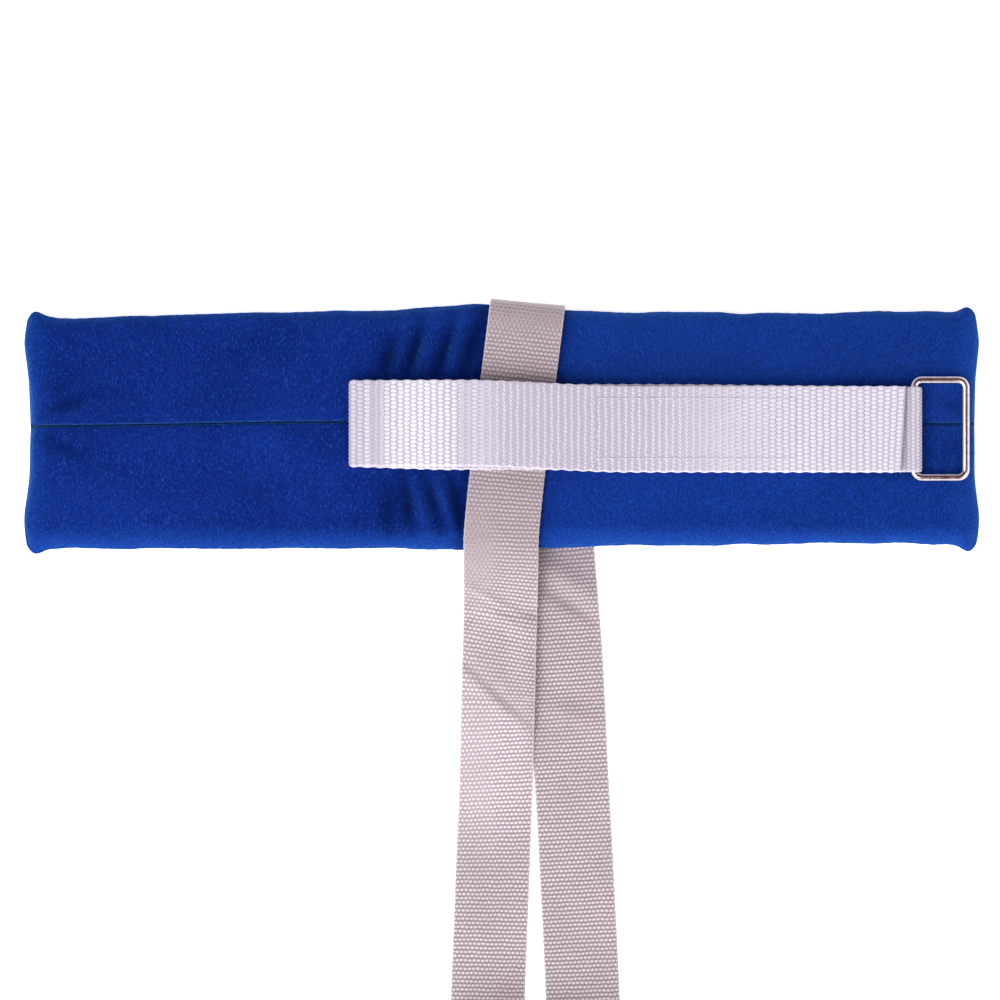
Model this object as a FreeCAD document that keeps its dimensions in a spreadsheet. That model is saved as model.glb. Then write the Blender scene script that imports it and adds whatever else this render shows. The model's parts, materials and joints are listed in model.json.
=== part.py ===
import os

import FreeCAD
import Part
import Sketcher
from FreeCAD import Placement, Rotation, Vector

# A padded fabric cuff of the kind used in nursing and rehabilitation.  It lies flat: +X runs along the pad,
# towards the ring; +Y runs across the pad, towards the edge that the tie strap is folded over; +Z is up.
# The origin is the centre of the pad's underside, on the surface that the cuff lies on.

doc = FreeCAD.newDocument("padded_cuff")
sheet = doc.addObject("Spreadsheet::Sheet", "sizes")

DRIVING_SIZES = {
    # Pad: a foam core in a tubular sleeve of pile fabric.
    "pad_length": 320.0,
    "pad_width": 80.0,
    "pad_height": 13.0,
    "pad_round": 5.5,
    "fabric_thickness": 2.4,
    "foam_round": 3.2,
    "thread_size": 0.5,
    "end_seam_length": 62.0,
    "centre_seam_y": 1.3,
    "centre_seam_inset": 3.0,
    # Closure strap: heavy webbing sewn to the pad, folded back on itself.
    "closure_width": 29.6,
    "closure_thickness": 1.4,
    "fold_x": -51.0,
    "base_end_x": 131.0,
    "flap_gap": 3.3,
    "tip_hinge_x": 100.0,
    "tip_end_x": 135.0,
    "bend_gap": 0.2,
    # Hook and loop patches between the two layers of the closure strap.
    "loop_start_x": 26.0,
    "loop_length": 82.0,
    "loop_width": 25.0,
    "loop_thickness": 1.8,
    "hook_start_x": 30.0,
    "hook_length": 69.0,
    "hook_width": 22.0,
    "hook_thickness": 1.2,
    # Rectangular ring of round wire, held in a short loop of webbing.
    "wire_diameter": 2.6,
    "ring_inner_width": 30.0,
    "ring_reach": 17.25,
    "ring_bend": 2.6,
    "bar_x": 138.05,
    "tab_width": 28.4,
    "tab_thickness": 1.2,
    "tab_clearance": 0.3,
    "tab_start_x": 111.0,
    "tab_drop_x": 132.0,
    "notch_margin": 0.4,
    # Tie strap: one long webbing folded over the pad's edge, with both tails on the near side.
    "tie_width": 25.4,
    "tie_thickness": 1.2,
    "saddle_x": 8.6,
    "saddle_y": 42.4,
    "saddle_leg_end_y": 34.0,
    "saddle_bend": 3.0,
    "front_edge_x": 0.3,
    "front_edge_y": -37.5,
    "front_landing_x": -0.5,
    "front_landing_y": -62.0,
    "back_edge_x": 18.4,
    "back_edge_y": -40.5,
    "tie_hinge_y": -128.0,
    "front_hinge_x": -2.3,
    "back_hinge_x": 24.3,
    "crossing_gap": 0.3,
    "parting_x": -3.2,
    "parting_y": -155.0,
    "channel_reach": 50.0,
    "channel_margin": 1.2,
    "channel_clearance": 0.05,
    "top_channel_depth": 1.3,
    "bottom_channel_depth": 1.5,
    # Rolled ends of the two tails, each held by an elastic loop through the roll's core.
    "roll_diameter": 35.0,
    "roll_core": 8.4,
    "roll_y": -216.0,
    "front_roll_x": -5.6,
    "back_roll_x": 28.1,
    "roll_reach": 6.4,
    "band_width": 6.0,
    "band_thickness": 1.2,
    "band_gap": 0.15,
    # Stitches.
    "stitch_length": 2.0,
    "stitch_width": 0.5,
    "stitch_height": 0.2,
    "stitch_pitch": 3.0,
    "stitch_inset": 1.0,
    "box_seam_half_width": 11.0,
    "anchor_half_width": 12.0,
    "fold_anchor_inset": 8.0,
    "tunnel_slack_left": 9.0,
    "tunnel_slack_right": 1.0,
}
for row, (alias, value) in enumerate(DRIVING_SIZES.items(), start=1):
    sheet.set("A%d" % row, alias)
    sheet.set("B%d" % row, str(value))
    sheet.setAlias("B%d" % row, alias)
doc.recompute()


def size(alias):
    """The value of one cell of the sheet, in millimetres."""
    return float(sheet.get(alias))


# Heights above the surface, and places that follow from the driving sizes, as sheet expressions.
PAD_TOP = "sizes.pad_height"
BASE_TOP = "(sizes.pad_height + sizes.closure_thickness)"
FLAP_BOTTOM = "(sizes.pad_height + sizes.closure_thickness + sizes.flap_gap)"
FLAP_TOP = "(sizes.pad_height + 2 * sizes.closure_thickness + sizes.flap_gap)"
FOLD_RADIUS = "((2 * sizes.closure_thickness + sizes.flap_gap) / 2)"
FOLD_CENTRE_X = "(sizes.fold_x + %s)" % FOLD_RADIUS
TAB_INNER = "(sizes.wire_diameter / 2 + sizes.tab_clearance)"
TAB_OUTER = "(%s + sizes.tab_thickness)" % TAB_INNER
BAR_Z = "(sizes.pad_height + %s)" % TAB_INNER
TIE_ON_PAD = "(sizes.pad_height - sizes.top_channel_depth + sizes.channel_clearance)"

# Plain allowances, in millimetres.
FILLET_SLACK = " - 0.02"
SPOT_TOLERANCE = 0.02


def bind(feature, **expressions):
    """Tie properties of a feature to the sheet; a double underscore stands for a dot."""
    for name, expression in expressions.items():
        feature.setExpression(name.replace("__", "."), expression)


def block(label, length, width, height, x, y, z):
    """A box, given its three sizes and then its low X, middle Y and low Z, all as expressions."""
    box = doc.addObject("Part::Box", label)
    bind(box, Length=length, Width=width, Height=height)
    bind(box, Placement__Base__x=x, Placement__Base__y="%s - (%s) / 2" % (y, width), Placement__Base__z=z)
    return box


def origin_plane(body, role):
    """One of a body's own origin planes."""
    return next(plane for plane in body.Origin.OriginFeatures if plane.Role == role)


def profile_body(label, role, corners, depth):
    """A body padded evenly to both sides of an origin plane, from corners given as pairs of expressions."""
    body = doc.addObject("PartDesign::Body", label)
    sketch = body.newObject("Sketcher::SketchObject", label + "_profile")
    sketch.AttachmentSupport = [(origin_plane(body, role), "")]
    sketch.MapMode = "FlatFace"
    count = len(corners)
    starts = [Vector(10 * index, index % 2, 0) for index in range(count)]
    for index in range(count):
        sketch.addGeometry(Part.LineSegment(starts[index], starts[(index + 1) % count]))
    for index in range(count):
        sketch.addConstraint(Sketcher.Constraint("Coincident", index, 2, (index + 1) % count, 1))
    for index, (across, up) in enumerate(corners):
        for kind, expression in (("DistanceX", across), ("DistanceY", up)):
            number = sketch.addConstraint(Sketcher.Constraint(kind, -1, 1, index, 1, 1.0))
            sketch.setExpression("Constraints[%d]" % number, expression)
    pad = body.newObject("PartDesign::Pad", label + "_pad")
    pad.Profile = sketch
    pad.Midplane = True
    bind(pad, Length=depth)
    body.Tip = pad
    doc.recompute()
    return body


def round_all_edges(body, radius):
    """Round every edge of a body's solid."""
    rounding = body.newObject("PartDesign::Fillet", body.Label + "_rounding")
    rounding.Base = (body.Group[-2], [""])
    rounding.UseAllEdges = True
    bind(rounding, Radius=radius)
    body.Tip = rounding
    doc.recompute()


def round_bends(body, axis, spots, radius):
    """Round the edges that run along an axis through the given spots of the profile."""
    base = body.Tip
    across = [index for index in range(3) if index != axis]
    names = []
    for number, edge in enumerate(base.Shape.Edges, start=1):
        ends = [vertex.Point for vertex in edge.Vertexes]
        if len(ends) != 2 or abs(ends[0][axis] - ends[1][axis]) < 1.0:
            continue
        for spot in spots:
            if all(abs(end[across[k]] - spot[k]) < SPOT_TOLERANCE for end in ends for k in range(2)):
                names.append("Edge%d" % number)
    if len(names) != len(spots):
        raise RuntimeError("%s: found %d of %d bends" % (body.Label, len(names), len(spots)))
    rounding = body.newObject("PartDesign::Fillet", "%s_bend_%d" % (body.Label, len(body.Group)))
    rounding.Base = (base, names)
    bind(rounding, Radius=radius)
    body.Tip = rounding
    doc.recompute()


def strap(label, stations, width, thickness):
    """A flat length of webbing whose middle line passes through stations of X, Y and height."""
    sections = []
    for index, (x, y, z) in enumerate(stations):
        section = doc.addObject("Part::Plane", "%s_section_%d" % (label, index))
        section.Placement = Placement(Vector(0, 0, 0), Rotation(Vector(1, 0, 0), 90))
        bind(section, Length=width, Width=thickness)
        bind(
            section,
            Placement__Base__x="(%s) - (%s) / 2" % (x, width),
            Placement__Base__y=y,
            Placement__Base__z="(%s) - (%s) / 2" % (z, thickness),
        )
        sections.append(section)
    loft = doc.addObject("Part::Loft", label)
    loft.Sections = sections
    loft.Solid = True
    loft.Ruled = True
    return loft


def stitch_row(label, x0, y0, x1, y1, z):
    """Short raised stitches on a line from one point to another, their underside at height z."""
    run = Vector(x1 - x0, y1 - y0, 0)
    count = max(2, round(run.Length / size("stitch_pitch")))
    stitches = []
    for index in range(count):
        centre = Vector(x0, y0, 0) + run * ((index + 0.5) / count)
        stitch = doc.addObject("Part::Box", "%s_%d" % (label, index))
        bind(stitch, Length="sizes.stitch_length", Width="sizes.stitch_width", Height="sizes.stitch_height")
        turn = Rotation(Vector(1, 0, 0), run)
        corner = Vector(-size("stitch_length") / 2, -size("stitch_width") / 2, 0)
        stitch.Placement = Placement(centre + turn.multVec(corner), turn)
        bind(stitch, Placement__Base__z=z)
        stitches.append(stitch)
    return stitches


def stitch_rectangle(label, x0, x1, half_width, z):
    """Stitches on the four sides of a rectangle that is even about the strap's middle line."""
    rows = stitch_row(label + "_far", x0, half_width, x1, half_width, z)
    rows += stitch_row(label + "_near", x0, -half_width, x1, -half_width, z)
    end = half_width - size("stitch_inset")
    rows += stitch_row(label + "_left", x0, -end, x0, end, z)
    rows += stitch_row(label + "_right", x1, -end, x1, end, z)
    return rows


def group(label, shapes):
    """Separate solids kept as one node."""
    compound = doc.addObject("Part::Compound", label)
    compound.Links = shapes
    return compound


def rectangle(half_length, half_width):
    """The four corners of a rectangle about the origin, as expressions."""
    corners = (("-", "-"), ("", "-"), ("", ""), ("-", ""))
    return [("%s(%s)" % (a, half_length), "%s(%s)" % (b, half_width)) for a, b in corners]


# Foam core ---------------------------------------------------------------------------------------------

FOAM_HEIGHT = "sizes.pad_height - 2 * sizes.fabric_thickness"
foam_core = profile_body(
    "foam_core",
    "XY_Plane",
    rectangle("sizes.pad_length / 2 - sizes.fabric_thickness", "sizes.pad_width / 2 - sizes.fabric_thickness"),
    FOAM_HEIGHT,
)
round_all_edges(foam_core, "sizes.foam_round")
bind(foam_core, Placement__Base__z="sizes.pad_height / 2")

# Seams of the sleeve -----------------------------------------------------------------------------------

SEAM_STRETCHES = {
    "left": (
        "-sizes.pad_length / 2 + sizes.centre_seam_inset",
        "sizes.saddle_x - sizes.tie_width / 2 - 16",
    ),
    "middle": ("sizes.saddle_x + sizes.tie_width / 2 + 3", "sizes.tab_start_x - 2"),
    "right": ("sizes.bar_x + 5", "sizes.pad_length / 2 - sizes.centre_seam_inset"),
}
centre_seam = [
    block(
        "centre_seam_" + name,
        "(%s) - (%s)" % (end, start),
        "sizes.thread_size",
        "sizes.thread_size",
        start,
        "sizes.centre_seam_y",
        PAD_TOP + " - sizes.thread_size - 0.1",
    )
    for name, (start, end) in SEAM_STRETCHES.items()
]
group("centre_seam_thread", centre_seam)

end_seams = [
    block(
        "end_seam_" + name,
        "sizes.thread_size",
        "sizes.end_seam_length",
        "sizes.thread_size",
        start,
        "0",
        "(sizes.pad_height - sizes.thread_size) / 2",
    )
    for name, start in (
        ("left", "-sizes.pad_length / 2"),
        ("right", "sizes.pad_length / 2 - sizes.thread_size"),
    )
]
group("end_seam_threads", end_seams)

# Tie strap: where each half runs ---------------------------------------------------------------------------

TAIL_LEVEL = "sizes.tie_thickness / 2"
CROSSING_LEVEL = "1.5 * sizes.tie_thickness + sizes.crossing_gap"
ON_PAD_LEVEL = "%s + sizes.tie_thickness / 2" % TIE_ON_PAD
ABOVE_HINGE_Y = "sizes.tie_hinge_y + sizes.bend_gap / 2"
BELOW_HINGE_Y = "sizes.tie_hinge_y - sizes.bend_gap / 2"
TAIL_END_Y = "sizes.roll_y + sizes.roll_reach"
FRONT_ON_PAD = [("sizes.saddle_x", "sizes.saddle_leg_end_y"), ("sizes.front_edge_x", "sizes.front_edge_y")]
BACK_UNDER_PAD = [("sizes.saddle_x", "sizes.saddle_leg_end_y"), ("sizes.back_edge_x", "sizes.back_edge_y")]


def channel(label, line, level, height):
    """A cut for one half of the tie strap, past both edges of the pad."""
    (x0, y0), (x1, y1) = line
    slope = "(%s - %s) / (%s - %s)" % (x1, x0, y1, y0)
    stations = []
    for y in ("sizes.channel_reach", "-sizes.channel_reach"):
        stations.append(("%s + %s * (%s - %s)" % (x0, slope, y, y0), y, level))
    return strap(label, stations, "sizes.tie_width + 2 * sizes.channel_margin", height)


top_channel = channel("top_channel", FRONT_ON_PAD, PAD_TOP, "2 * sizes.top_channel_depth")
bottom_channel = channel("bottom_channel", BACK_UNDER_PAD, "0", "2 * sizes.bottom_channel_depth")
tab_notch = block(
    "tab_notch",
    "sizes.bar_x + %s - sizes.tab_start_x + 3 * sizes.notch_margin" % TAB_OUTER,
    "sizes.tab_width + 2 * sizes.notch_margin",
    "2 * sizes.tab_thickness",
    "sizes.tab_start_x - sizes.notch_margin",
    "0",
    PAD_TOP + " - sizes.tab_thickness",
)

# Sleeve of pile fabric -----------------------------------------------------------------------------------

cover_block = profile_body(
    "cover_block",
    "XY_Plane",
    rectangle("sizes.pad_length / 2", "sizes.pad_width / 2"),
    "sizes.pad_height",
)
round_all_edges(cover_block, "sizes.pad_round")
bind(cover_block, Placement__Base__z="sizes.pad_height / 2")
hollows = doc.addObject("Part::MultiFuse", "cover_hollows")
hollows.Shapes = [foam_core, top_channel, bottom_channel, tab_notch] + centre_seam + end_seams
cover_sleeve = doc.addObject("Part::Cut", "cover_sleeve")
cover_sleeve.Base = cover_block
cover_sleeve.Tool = hollows

# Closure strap -------------------------------------------------------------------------------------------

block(
    "closure_base_layer",
    "sizes.base_end_x - %s" % FOLD_CENTRE_X,
    "sizes.closure_width",
    "sizes.closure_thickness",
    FOLD_CENTRE_X,
    "0",
    PAD_TOP,
)
fold_inner_x = "sizes.fold_x + sizes.closure_thickness"
closure_fold = profile_body(
    "closure_fold",
    "XZ_Plane",
    [
        (FOLD_CENTRE_X, PAD_TOP),
        ("sizes.fold_x", PAD_TOP),
        ("sizes.fold_x", FLAP_TOP),
        (FOLD_CENTRE_X, FLAP_TOP),
        (FOLD_CENTRE_X, FLAP_BOTTOM),
        (fold_inner_x, FLAP_BOTTOM),
        (fold_inner_x, BASE_TOP),
        (FOLD_CENTRE_X, BASE_TOP),
    ],
    "sizes.closure_width",
)
base_top = size("pad_height") + size("closure_thickness")
flap_bottom = base_top + size("flap_gap")
flap_top = flap_bottom + size("closure_thickness")
fold_x = size("fold_x")
round_bends(
    closure_fold,
    1,
    [(fold_x, size("pad_height")), (fold_x, flap_top)],
    FOLD_RADIUS + FILLET_SLACK,
)
fold_inner = fold_x + size("closure_thickness")
round_bends(
    closure_fold,
    1,
    [(fold_inner, base_top), (fold_inner, flap_bottom)],
    "sizes.flap_gap / 2" + FILLET_SLACK,
)
block(
    "closure_flap",
    "sizes.tip_hinge_x - %s" % FOLD_CENTRE_X,
    "sizes.closure_width",
    "sizes.closure_thickness",
    FOLD_CENTRE_X,
    "0",
    FLAP_BOTTOM,
)
block(
    "closure_tip",
    "sizes.tip_end_x - sizes.tip_hinge_x - sizes.bend_gap",
    "sizes.closure_width",
    "sizes.closure_thickness",
    "sizes.tip_hinge_x + sizes.bend_gap",
    "0",
    FLAP_BOTTOM,
)
block(
    "loop_patch",
    "sizes.loop_length",
    "sizes.loop_width",
    "sizes.loop_thickness",
    "sizes.loop_start_x",
    "0",
    BASE_TOP,
)
block(
    "hook_patch",
    "sizes.hook_length",
    "sizes.hook_width",
    "sizes.hook_thickness",
    "sizes.hook_start_x",
    "0",
    FLAP_BOTTOM + " - sizes.hook_thickness",
)

# Webbing loop and ring -----------------------------------------------------------------------------------

tab_lap_top = BASE_TOP + " + sizes.tab_thickness"
tab_outer_x = "sizes.bar_x + " + TAB_OUTER
tab_inner_x = "sizes.bar_x + " + TAB_INNER
ring_tab = profile_body(
    "ring_tab",
    "XZ_Plane",
    [
        ("sizes.tab_start_x", PAD_TOP + " - sizes.tab_thickness"),
        (tab_outer_x, PAD_TOP + " - sizes.tab_thickness"),
        (tab_outer_x, "%s + %s" % (BAR_Z, TAB_OUTER)),
        ("sizes.bar_x - 1", "%s + %s" % (BAR_Z, TAB_OUTER)),
        ("sizes.tab_drop_x", tab_lap_top),
        ("sizes.tab_start_x", tab_lap_top),
        ("sizes.tab_start_x", BASE_TOP),
        ("sizes.tab_drop_x", BASE_TOP),
        ("sizes.bar_x - 1", "%s + %s" % (BAR_Z, TAB_INNER)),
        (tab_inner_x, "%s + %s" % (BAR_Z, TAB_INNER)),
        (tab_inner_x, PAD_TOP),
        ("sizes.tab_start_x", PAD_TOP),
    ],
    "sizes.tab_width",
)
tab_inner = size("wire_diameter") / 2 + size("tab_clearance")
tab_outer = tab_inner + size("tab_thickness")
bar_x = size("bar_x")
bar_z = size("pad_height") + tab_inner
round_bends(
    ring_tab,
    1,
    [(bar_x + tab_outer, bar_z - tab_outer), (bar_x + tab_outer, bar_z + tab_outer)],
    TAB_OUTER + FILLET_SLACK,
)
round_bends(
    ring_tab,
    1,
    [(bar_x + tab_inner, bar_z - tab_inner), (bar_x + tab_inner, bar_z + tab_inner)],
    TAB_INNER + FILLET_SLACK,
)


def wire_ring(label):
    """Wire of round section along a rectangle with bent corners, its near bar on the joint's axis."""
    body = doc.addObject("PartDesign::Body", label)
    spine = body.newObject("Sketcher::SketchObject", label + "_spine")
    spine.AttachmentSupport = [(origin_plane(body, "XY_Plane"), "")]
    spine.MapMode = "FlatFace"
    reach = size("ring_reach")
    half = (size("ring_inner_width") + size("wire_diameter")) / 2
    corners = [Vector(0, -half), Vector(reach, -half), Vector(reach, half), Vector(0, half)]
    for index in range(4):
        spine.addGeometry(Part.LineSegment(corners[index], corners[(index + 1) % 4]))
    for index in range(4):
        spine.addConstraint(Sketcher.Constraint("Coincident", index, 2, (index + 1) % 4, 1))
    for index in range(4):
        spine.fillet(index, 2, size("ring_bend"))
    section = body.newObject("Sketcher::SketchObject", label + "_section")
    section.AttachmentSupport = [(origin_plane(body, "XZ_Plane"), "")]
    section.MapMode = "FlatFace"
    section.addGeometry(Part.Circle(Vector(0, 0, 0), Vector(0, 0, 1), size("wire_diameter") / 2))
    section.addConstraint(Sketcher.Constraint("Coincident", 0, 3, -1, 1))
    number = section.addConstraint(Sketcher.Constraint("Radius", 0, size("wire_diameter") / 2))
    section.setExpression("Constraints[%d]" % number, "sizes.wire_diameter / 2")
    doc.recompute()
    sweep = body.newObject("PartDesign::AdditivePipe", label + "_wire")
    sweep.Profile = section
    sweep.Spine = (spine, [])
    body.Tip = sweep
    bind(body, Placement__Base__x="sizes.bar_x", Placement__Base__z=BAR_Z)
    doc.recompute()
    return body


wire_ring("ring")

# Tie strap -------------------------------------------------------------------------------------------------

saddle_inner_y = "sizes.saddle_y - sizes.tie_thickness"
tie_saddle = profile_body(
    "tie_saddle",
    "YZ_Plane",
    [
        ("sizes.saddle_leg_end_y", "0"),
        ("sizes.saddle_y", "0"),
        ("sizes.saddle_y", TIE_ON_PAD + " + sizes.tie_thickness"),
        ("sizes.saddle_leg_end_y", TIE_ON_PAD + " + sizes.tie_thickness"),
        ("sizes.saddle_leg_end_y", TIE_ON_PAD),
        (saddle_inner_y, TIE_ON_PAD),
        (saddle_inner_y, "sizes.tie_thickness"),
        ("sizes.saddle_leg_end_y", "sizes.tie_thickness"),
    ],
    "sizes.tie_width",
)
tie_thickness = size("tie_thickness")
tie_on_pad = size("pad_height") - size("top_channel_depth") + 0.05
saddle_y = size("saddle_y")
round_bends(tie_saddle, 0, [(saddle_y, 0.0), (saddle_y, tie_on_pad + tie_thickness)], "sizes.saddle_bend")
saddle_inner = saddle_y - tie_thickness
round_bends(
    tie_saddle,
    0,
    [(saddle_inner, tie_thickness), (saddle_inner, tie_on_pad)],
    "sizes.saddle_bend - sizes.tie_thickness",
)
bind(tie_saddle, Placement__Base__x="sizes.saddle_x")

strap(
    "tie_front_run",
    [
        (*FRONT_ON_PAD[0], ON_PAD_LEVEL),
        (*FRONT_ON_PAD[1], ON_PAD_LEVEL),
        ("sizes.front_landing_x", "sizes.front_landing_y", CROSSING_LEVEL),
        ("sizes.front_hinge_x", ABOVE_HINGE_Y, CROSSING_LEVEL),
    ],
    "sizes.tie_width",
    "sizes.tie_thickness",
)
strap(
    "tie_back_run",
    [
        (*BACK_UNDER_PAD[0], TAIL_LEVEL),
        (*BACK_UNDER_PAD[1], TAIL_LEVEL),
        ("sizes.back_hinge_x", ABOVE_HINGE_Y, TAIL_LEVEL),
    ],
    "sizes.tie_width",
    "sizes.tie_thickness",
)
strap(
    "tie_front_tail",
    [
        ("sizes.front_hinge_x", BELOW_HINGE_Y, CROSSING_LEVEL),
        ("sizes.parting_x", "sizes.parting_y", TAIL_LEVEL),
        ("sizes.front_roll_x", TAIL_END_Y, TAIL_LEVEL),
    ],
    "sizes.tie_width",
    "sizes.tie_thickness",
)
strap(
    "tie_back_tail",
    [
        ("sizes.back_hinge_x", BELOW_HINGE_Y, TAIL_LEVEL),
        ("sizes.back_roll_x", TAIL_END_Y, TAIL_LEVEL),
    ],
    "sizes.tie_width",
    "sizes.tie_thickness",
)


def cylinder(label, radius, length, x, y, z):
    """A round bar along X, from its low-X end."""
    bar = doc.addObject("Part::Cylinder", label)
    bar.Placement = Placement(Vector(0, 0, 0), Rotation(Vector(0, 1, 0), 90))
    bind(bar, Radius=radius, Height=length)
    bind(bar, Placement__Base__x=x, Placement__Base__y=y, Placement__Base__z=z)
    return bar


def rolled_end(name):
    """The rolled end of one tail, and the elastic loop that passes through its core and over its top."""
    low_x = "sizes.%s_roll_x - sizes.tie_width / 2" % name
    middle_z = "sizes.roll_diameter / 2"
    roll = doc.addObject("Part::Cut", "tie_%s_roll" % name)
    ends = ("sizes.tie_width", low_x, "sizes.roll_y", middle_z)
    roll.Base = cylinder("%s_roll_turns" % name, "sizes.roll_diameter / 2", *ends)
    roll.Tool = cylinder("%s_roll_hole" % name, "sizes.roll_core / 2", *ends)
    inner_height = "sizes.roll_diameter / 2 + sizes.band_gap"
    inner_length = "sizes.tie_width + 2 * sizes.band_gap"
    band = doc.addObject("Part::Cut", "tie_%s_band" % name)
    band.Base = block(
        "%s_band_outside" % name,
        inner_length + " + 2 * sizes.band_thickness",
        "sizes.band_width",
        inner_height + " + 2 * sizes.band_thickness",
        low_x + " - sizes.band_gap - sizes.band_thickness",
        "sizes.roll_y",
        middle_z + " - sizes.band_thickness",
    )
    band.Tool = block(
        "%s_band_inside" % name,
        inner_length,
        "sizes.band_width",
        inner_height,
        low_x + " - sizes.band_gap",
        "sizes.roll_y",
        middle_z,
    )


for name in ("front", "back"):
    rolled_end(name)

# Stitches ----------------------------------------------------------------------------------------------------

inset = size("stitch_inset")
hook_x0 = size("hook_start_x") + inset
hook_x1 = size("hook_start_x") + size("hook_length") - inset
hook_half = size("hook_width") / 2 - inset
group("hook_patch_stitches", stitch_rectangle("hook_stitch", hook_x0, hook_x1, hook_half, FLAP_TOP))

LOOP_TOP = BASE_TOP + " + sizes.loop_thickness"
loop_x0 = size("loop_start_x") + inset
loop_x1 = size("loop_start_x") + size("loop_length") - inset
loop_half = (size("loop_width") - inset) / 2
loop_rows = stitch_row("loop_far", loop_x0, loop_half, loop_x1, loop_half, LOOP_TOP)
loop_rows += stitch_row("loop_near", loop_x0, -loop_half, loop_x1, -loop_half, LOOP_TOP)
group("loop_patch_stitches", loop_rows)

tab_x0 = size("tab_start_x") + 2 * inset
tab_x1 = size("tab_drop_x") - 3 * inset
tab_rows = stitch_rectangle("tab_box", tab_x0, tab_x1, size("box_seam_half_width"), tab_lap_top)
group("ring_tab_stitches", tab_rows)

anchor_half = size("anchor_half_width")
half_tie = size("tie_width") / 2
ANCHOR_ROWS = {
    "fold": fold_x + size("fold_anchor_inset"),
    "left": size("saddle_x") - half_tie - size("tunnel_slack_left"),
    "right": size("saddle_x") + half_tie + size("tunnel_slack_right"),
}
anchor_stitches = []
for name, x in ANCHOR_ROWS.items():
    anchor_stitches += stitch_row("anchor_" + name, x, -anchor_half, x, anchor_half, BASE_TOP)
group("strap_anchor_stitches", anchor_stitches)

# Check and write ---------------------------------------------------------------------------------------------

SUB_PARTS = [
    "foam_core",
    "cover_sleeve",
    "centre_seam_thread",
    "end_seam_threads",
    "closure_base_layer",
    "closure_fold",
    "closure_flap",
    "closure_tip",
    "hook_patch",
    "loop_patch",
    "hook_patch_stitches",
    "loop_patch_stitches",
    "strap_anchor_stitches",
    "ring_tab",
    "ring_tab_stitches",
    "ring",
    "tie_saddle",
    "tie_front_run",
    "tie_back_run",
    "tie_front_tail",
    "tie_back_tail",
    "tie_front_roll",
    "tie_back_roll",
    "tie_front_band",
    "tie_back_band",
]

doc.recompute()
for feature in doc.Objects:
    if "Invalid" in feature.State or "Error" in feature.State:
        raise RuntimeError("%s failed: %s" % (feature.Label, feature.State))
os.makedirs("parts", exist_ok=True)
for label in SUB_PARTS:
    sub_part = doc.getObjectsByLabel(label)[0]
    if sub_part.Shape.isNull() or not sub_part.Shape.isValid():
        raise RuntimeError("%s has no valid shape" % label)
    if sub_part.Shape.Volume <= 0:
        raise RuntimeError("%s has no volume" % label)
    sub_part.Shape.exportStep("parts/%s.step" % label)
    box = sub_part.Shape.BoundBox
    print(
        "%-24s %3d solids %10.1f mm3  X %7.2f %7.2f  Y %7.2f %7.2f  Z %6.2f %6.2f"
        % (
            label,
            len(sub_part.Shape.Solids),
            sub_part.Shape.Volume,
            box.XMin,
            box.XMax,
            box.YMin,
            box.YMax,
            box.ZMin,
            box.ZMax,
        )
    )
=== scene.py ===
import json
import math
from dataclasses import dataclass

import bpy
import numpy as np
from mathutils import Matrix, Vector


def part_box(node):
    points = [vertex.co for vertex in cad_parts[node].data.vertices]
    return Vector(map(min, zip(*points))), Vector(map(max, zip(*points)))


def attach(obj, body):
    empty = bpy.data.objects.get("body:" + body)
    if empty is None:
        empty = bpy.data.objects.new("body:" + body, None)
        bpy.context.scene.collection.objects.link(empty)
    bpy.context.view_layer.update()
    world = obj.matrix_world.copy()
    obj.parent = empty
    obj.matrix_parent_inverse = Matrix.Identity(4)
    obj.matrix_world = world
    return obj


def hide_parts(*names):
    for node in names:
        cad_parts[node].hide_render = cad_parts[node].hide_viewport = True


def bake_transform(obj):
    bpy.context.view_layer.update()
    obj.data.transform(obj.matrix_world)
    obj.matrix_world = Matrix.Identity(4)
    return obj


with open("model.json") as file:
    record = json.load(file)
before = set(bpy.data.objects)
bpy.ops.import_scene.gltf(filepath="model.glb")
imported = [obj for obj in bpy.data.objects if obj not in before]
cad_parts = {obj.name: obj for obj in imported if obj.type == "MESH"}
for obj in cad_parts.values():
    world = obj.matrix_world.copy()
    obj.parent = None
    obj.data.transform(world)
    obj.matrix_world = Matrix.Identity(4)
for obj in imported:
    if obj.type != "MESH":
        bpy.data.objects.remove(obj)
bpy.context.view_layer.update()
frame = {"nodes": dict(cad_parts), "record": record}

# Lengths in this script are in millimetres, in the row frame, and become metres when a mesh is made.
MM = 0.001


def cad(node):
    """Low and high corner of a CAD node, in millimetres."""
    low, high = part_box(node)
    return np.array(low) / MM, np.array(high) / MM


def joint_point(name):
    """A joint's position, in millimetres."""
    for joint in frame["record"]["behaviour"]["joints"]:
        if joint["name"] == name:
            return np.array(joint["pos_m"]) / MM
    raise KeyError(name)


# Small maths --------------------------------------------------------------------------------------


def bump(value, middle, spread):
    """A smooth bell of height 1."""
    return np.exp(-(((value - middle) / spread) ** 2))


def step(value, start, end):
    """0 before start, 1 after end, smooth between."""
    t = np.clip((value - start) / (end - start), 0, 1)
    return t * t * (3 - 2 * t)


def rounded_square(angle, power):
    """Across and up on a rounded square of half size 1; the lower the power, the squarer."""
    across, up = np.cos(angle), np.sin(angle)
    return np.sign(across) * np.abs(across) ** power, np.sign(up) * np.abs(up) ** power


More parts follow.
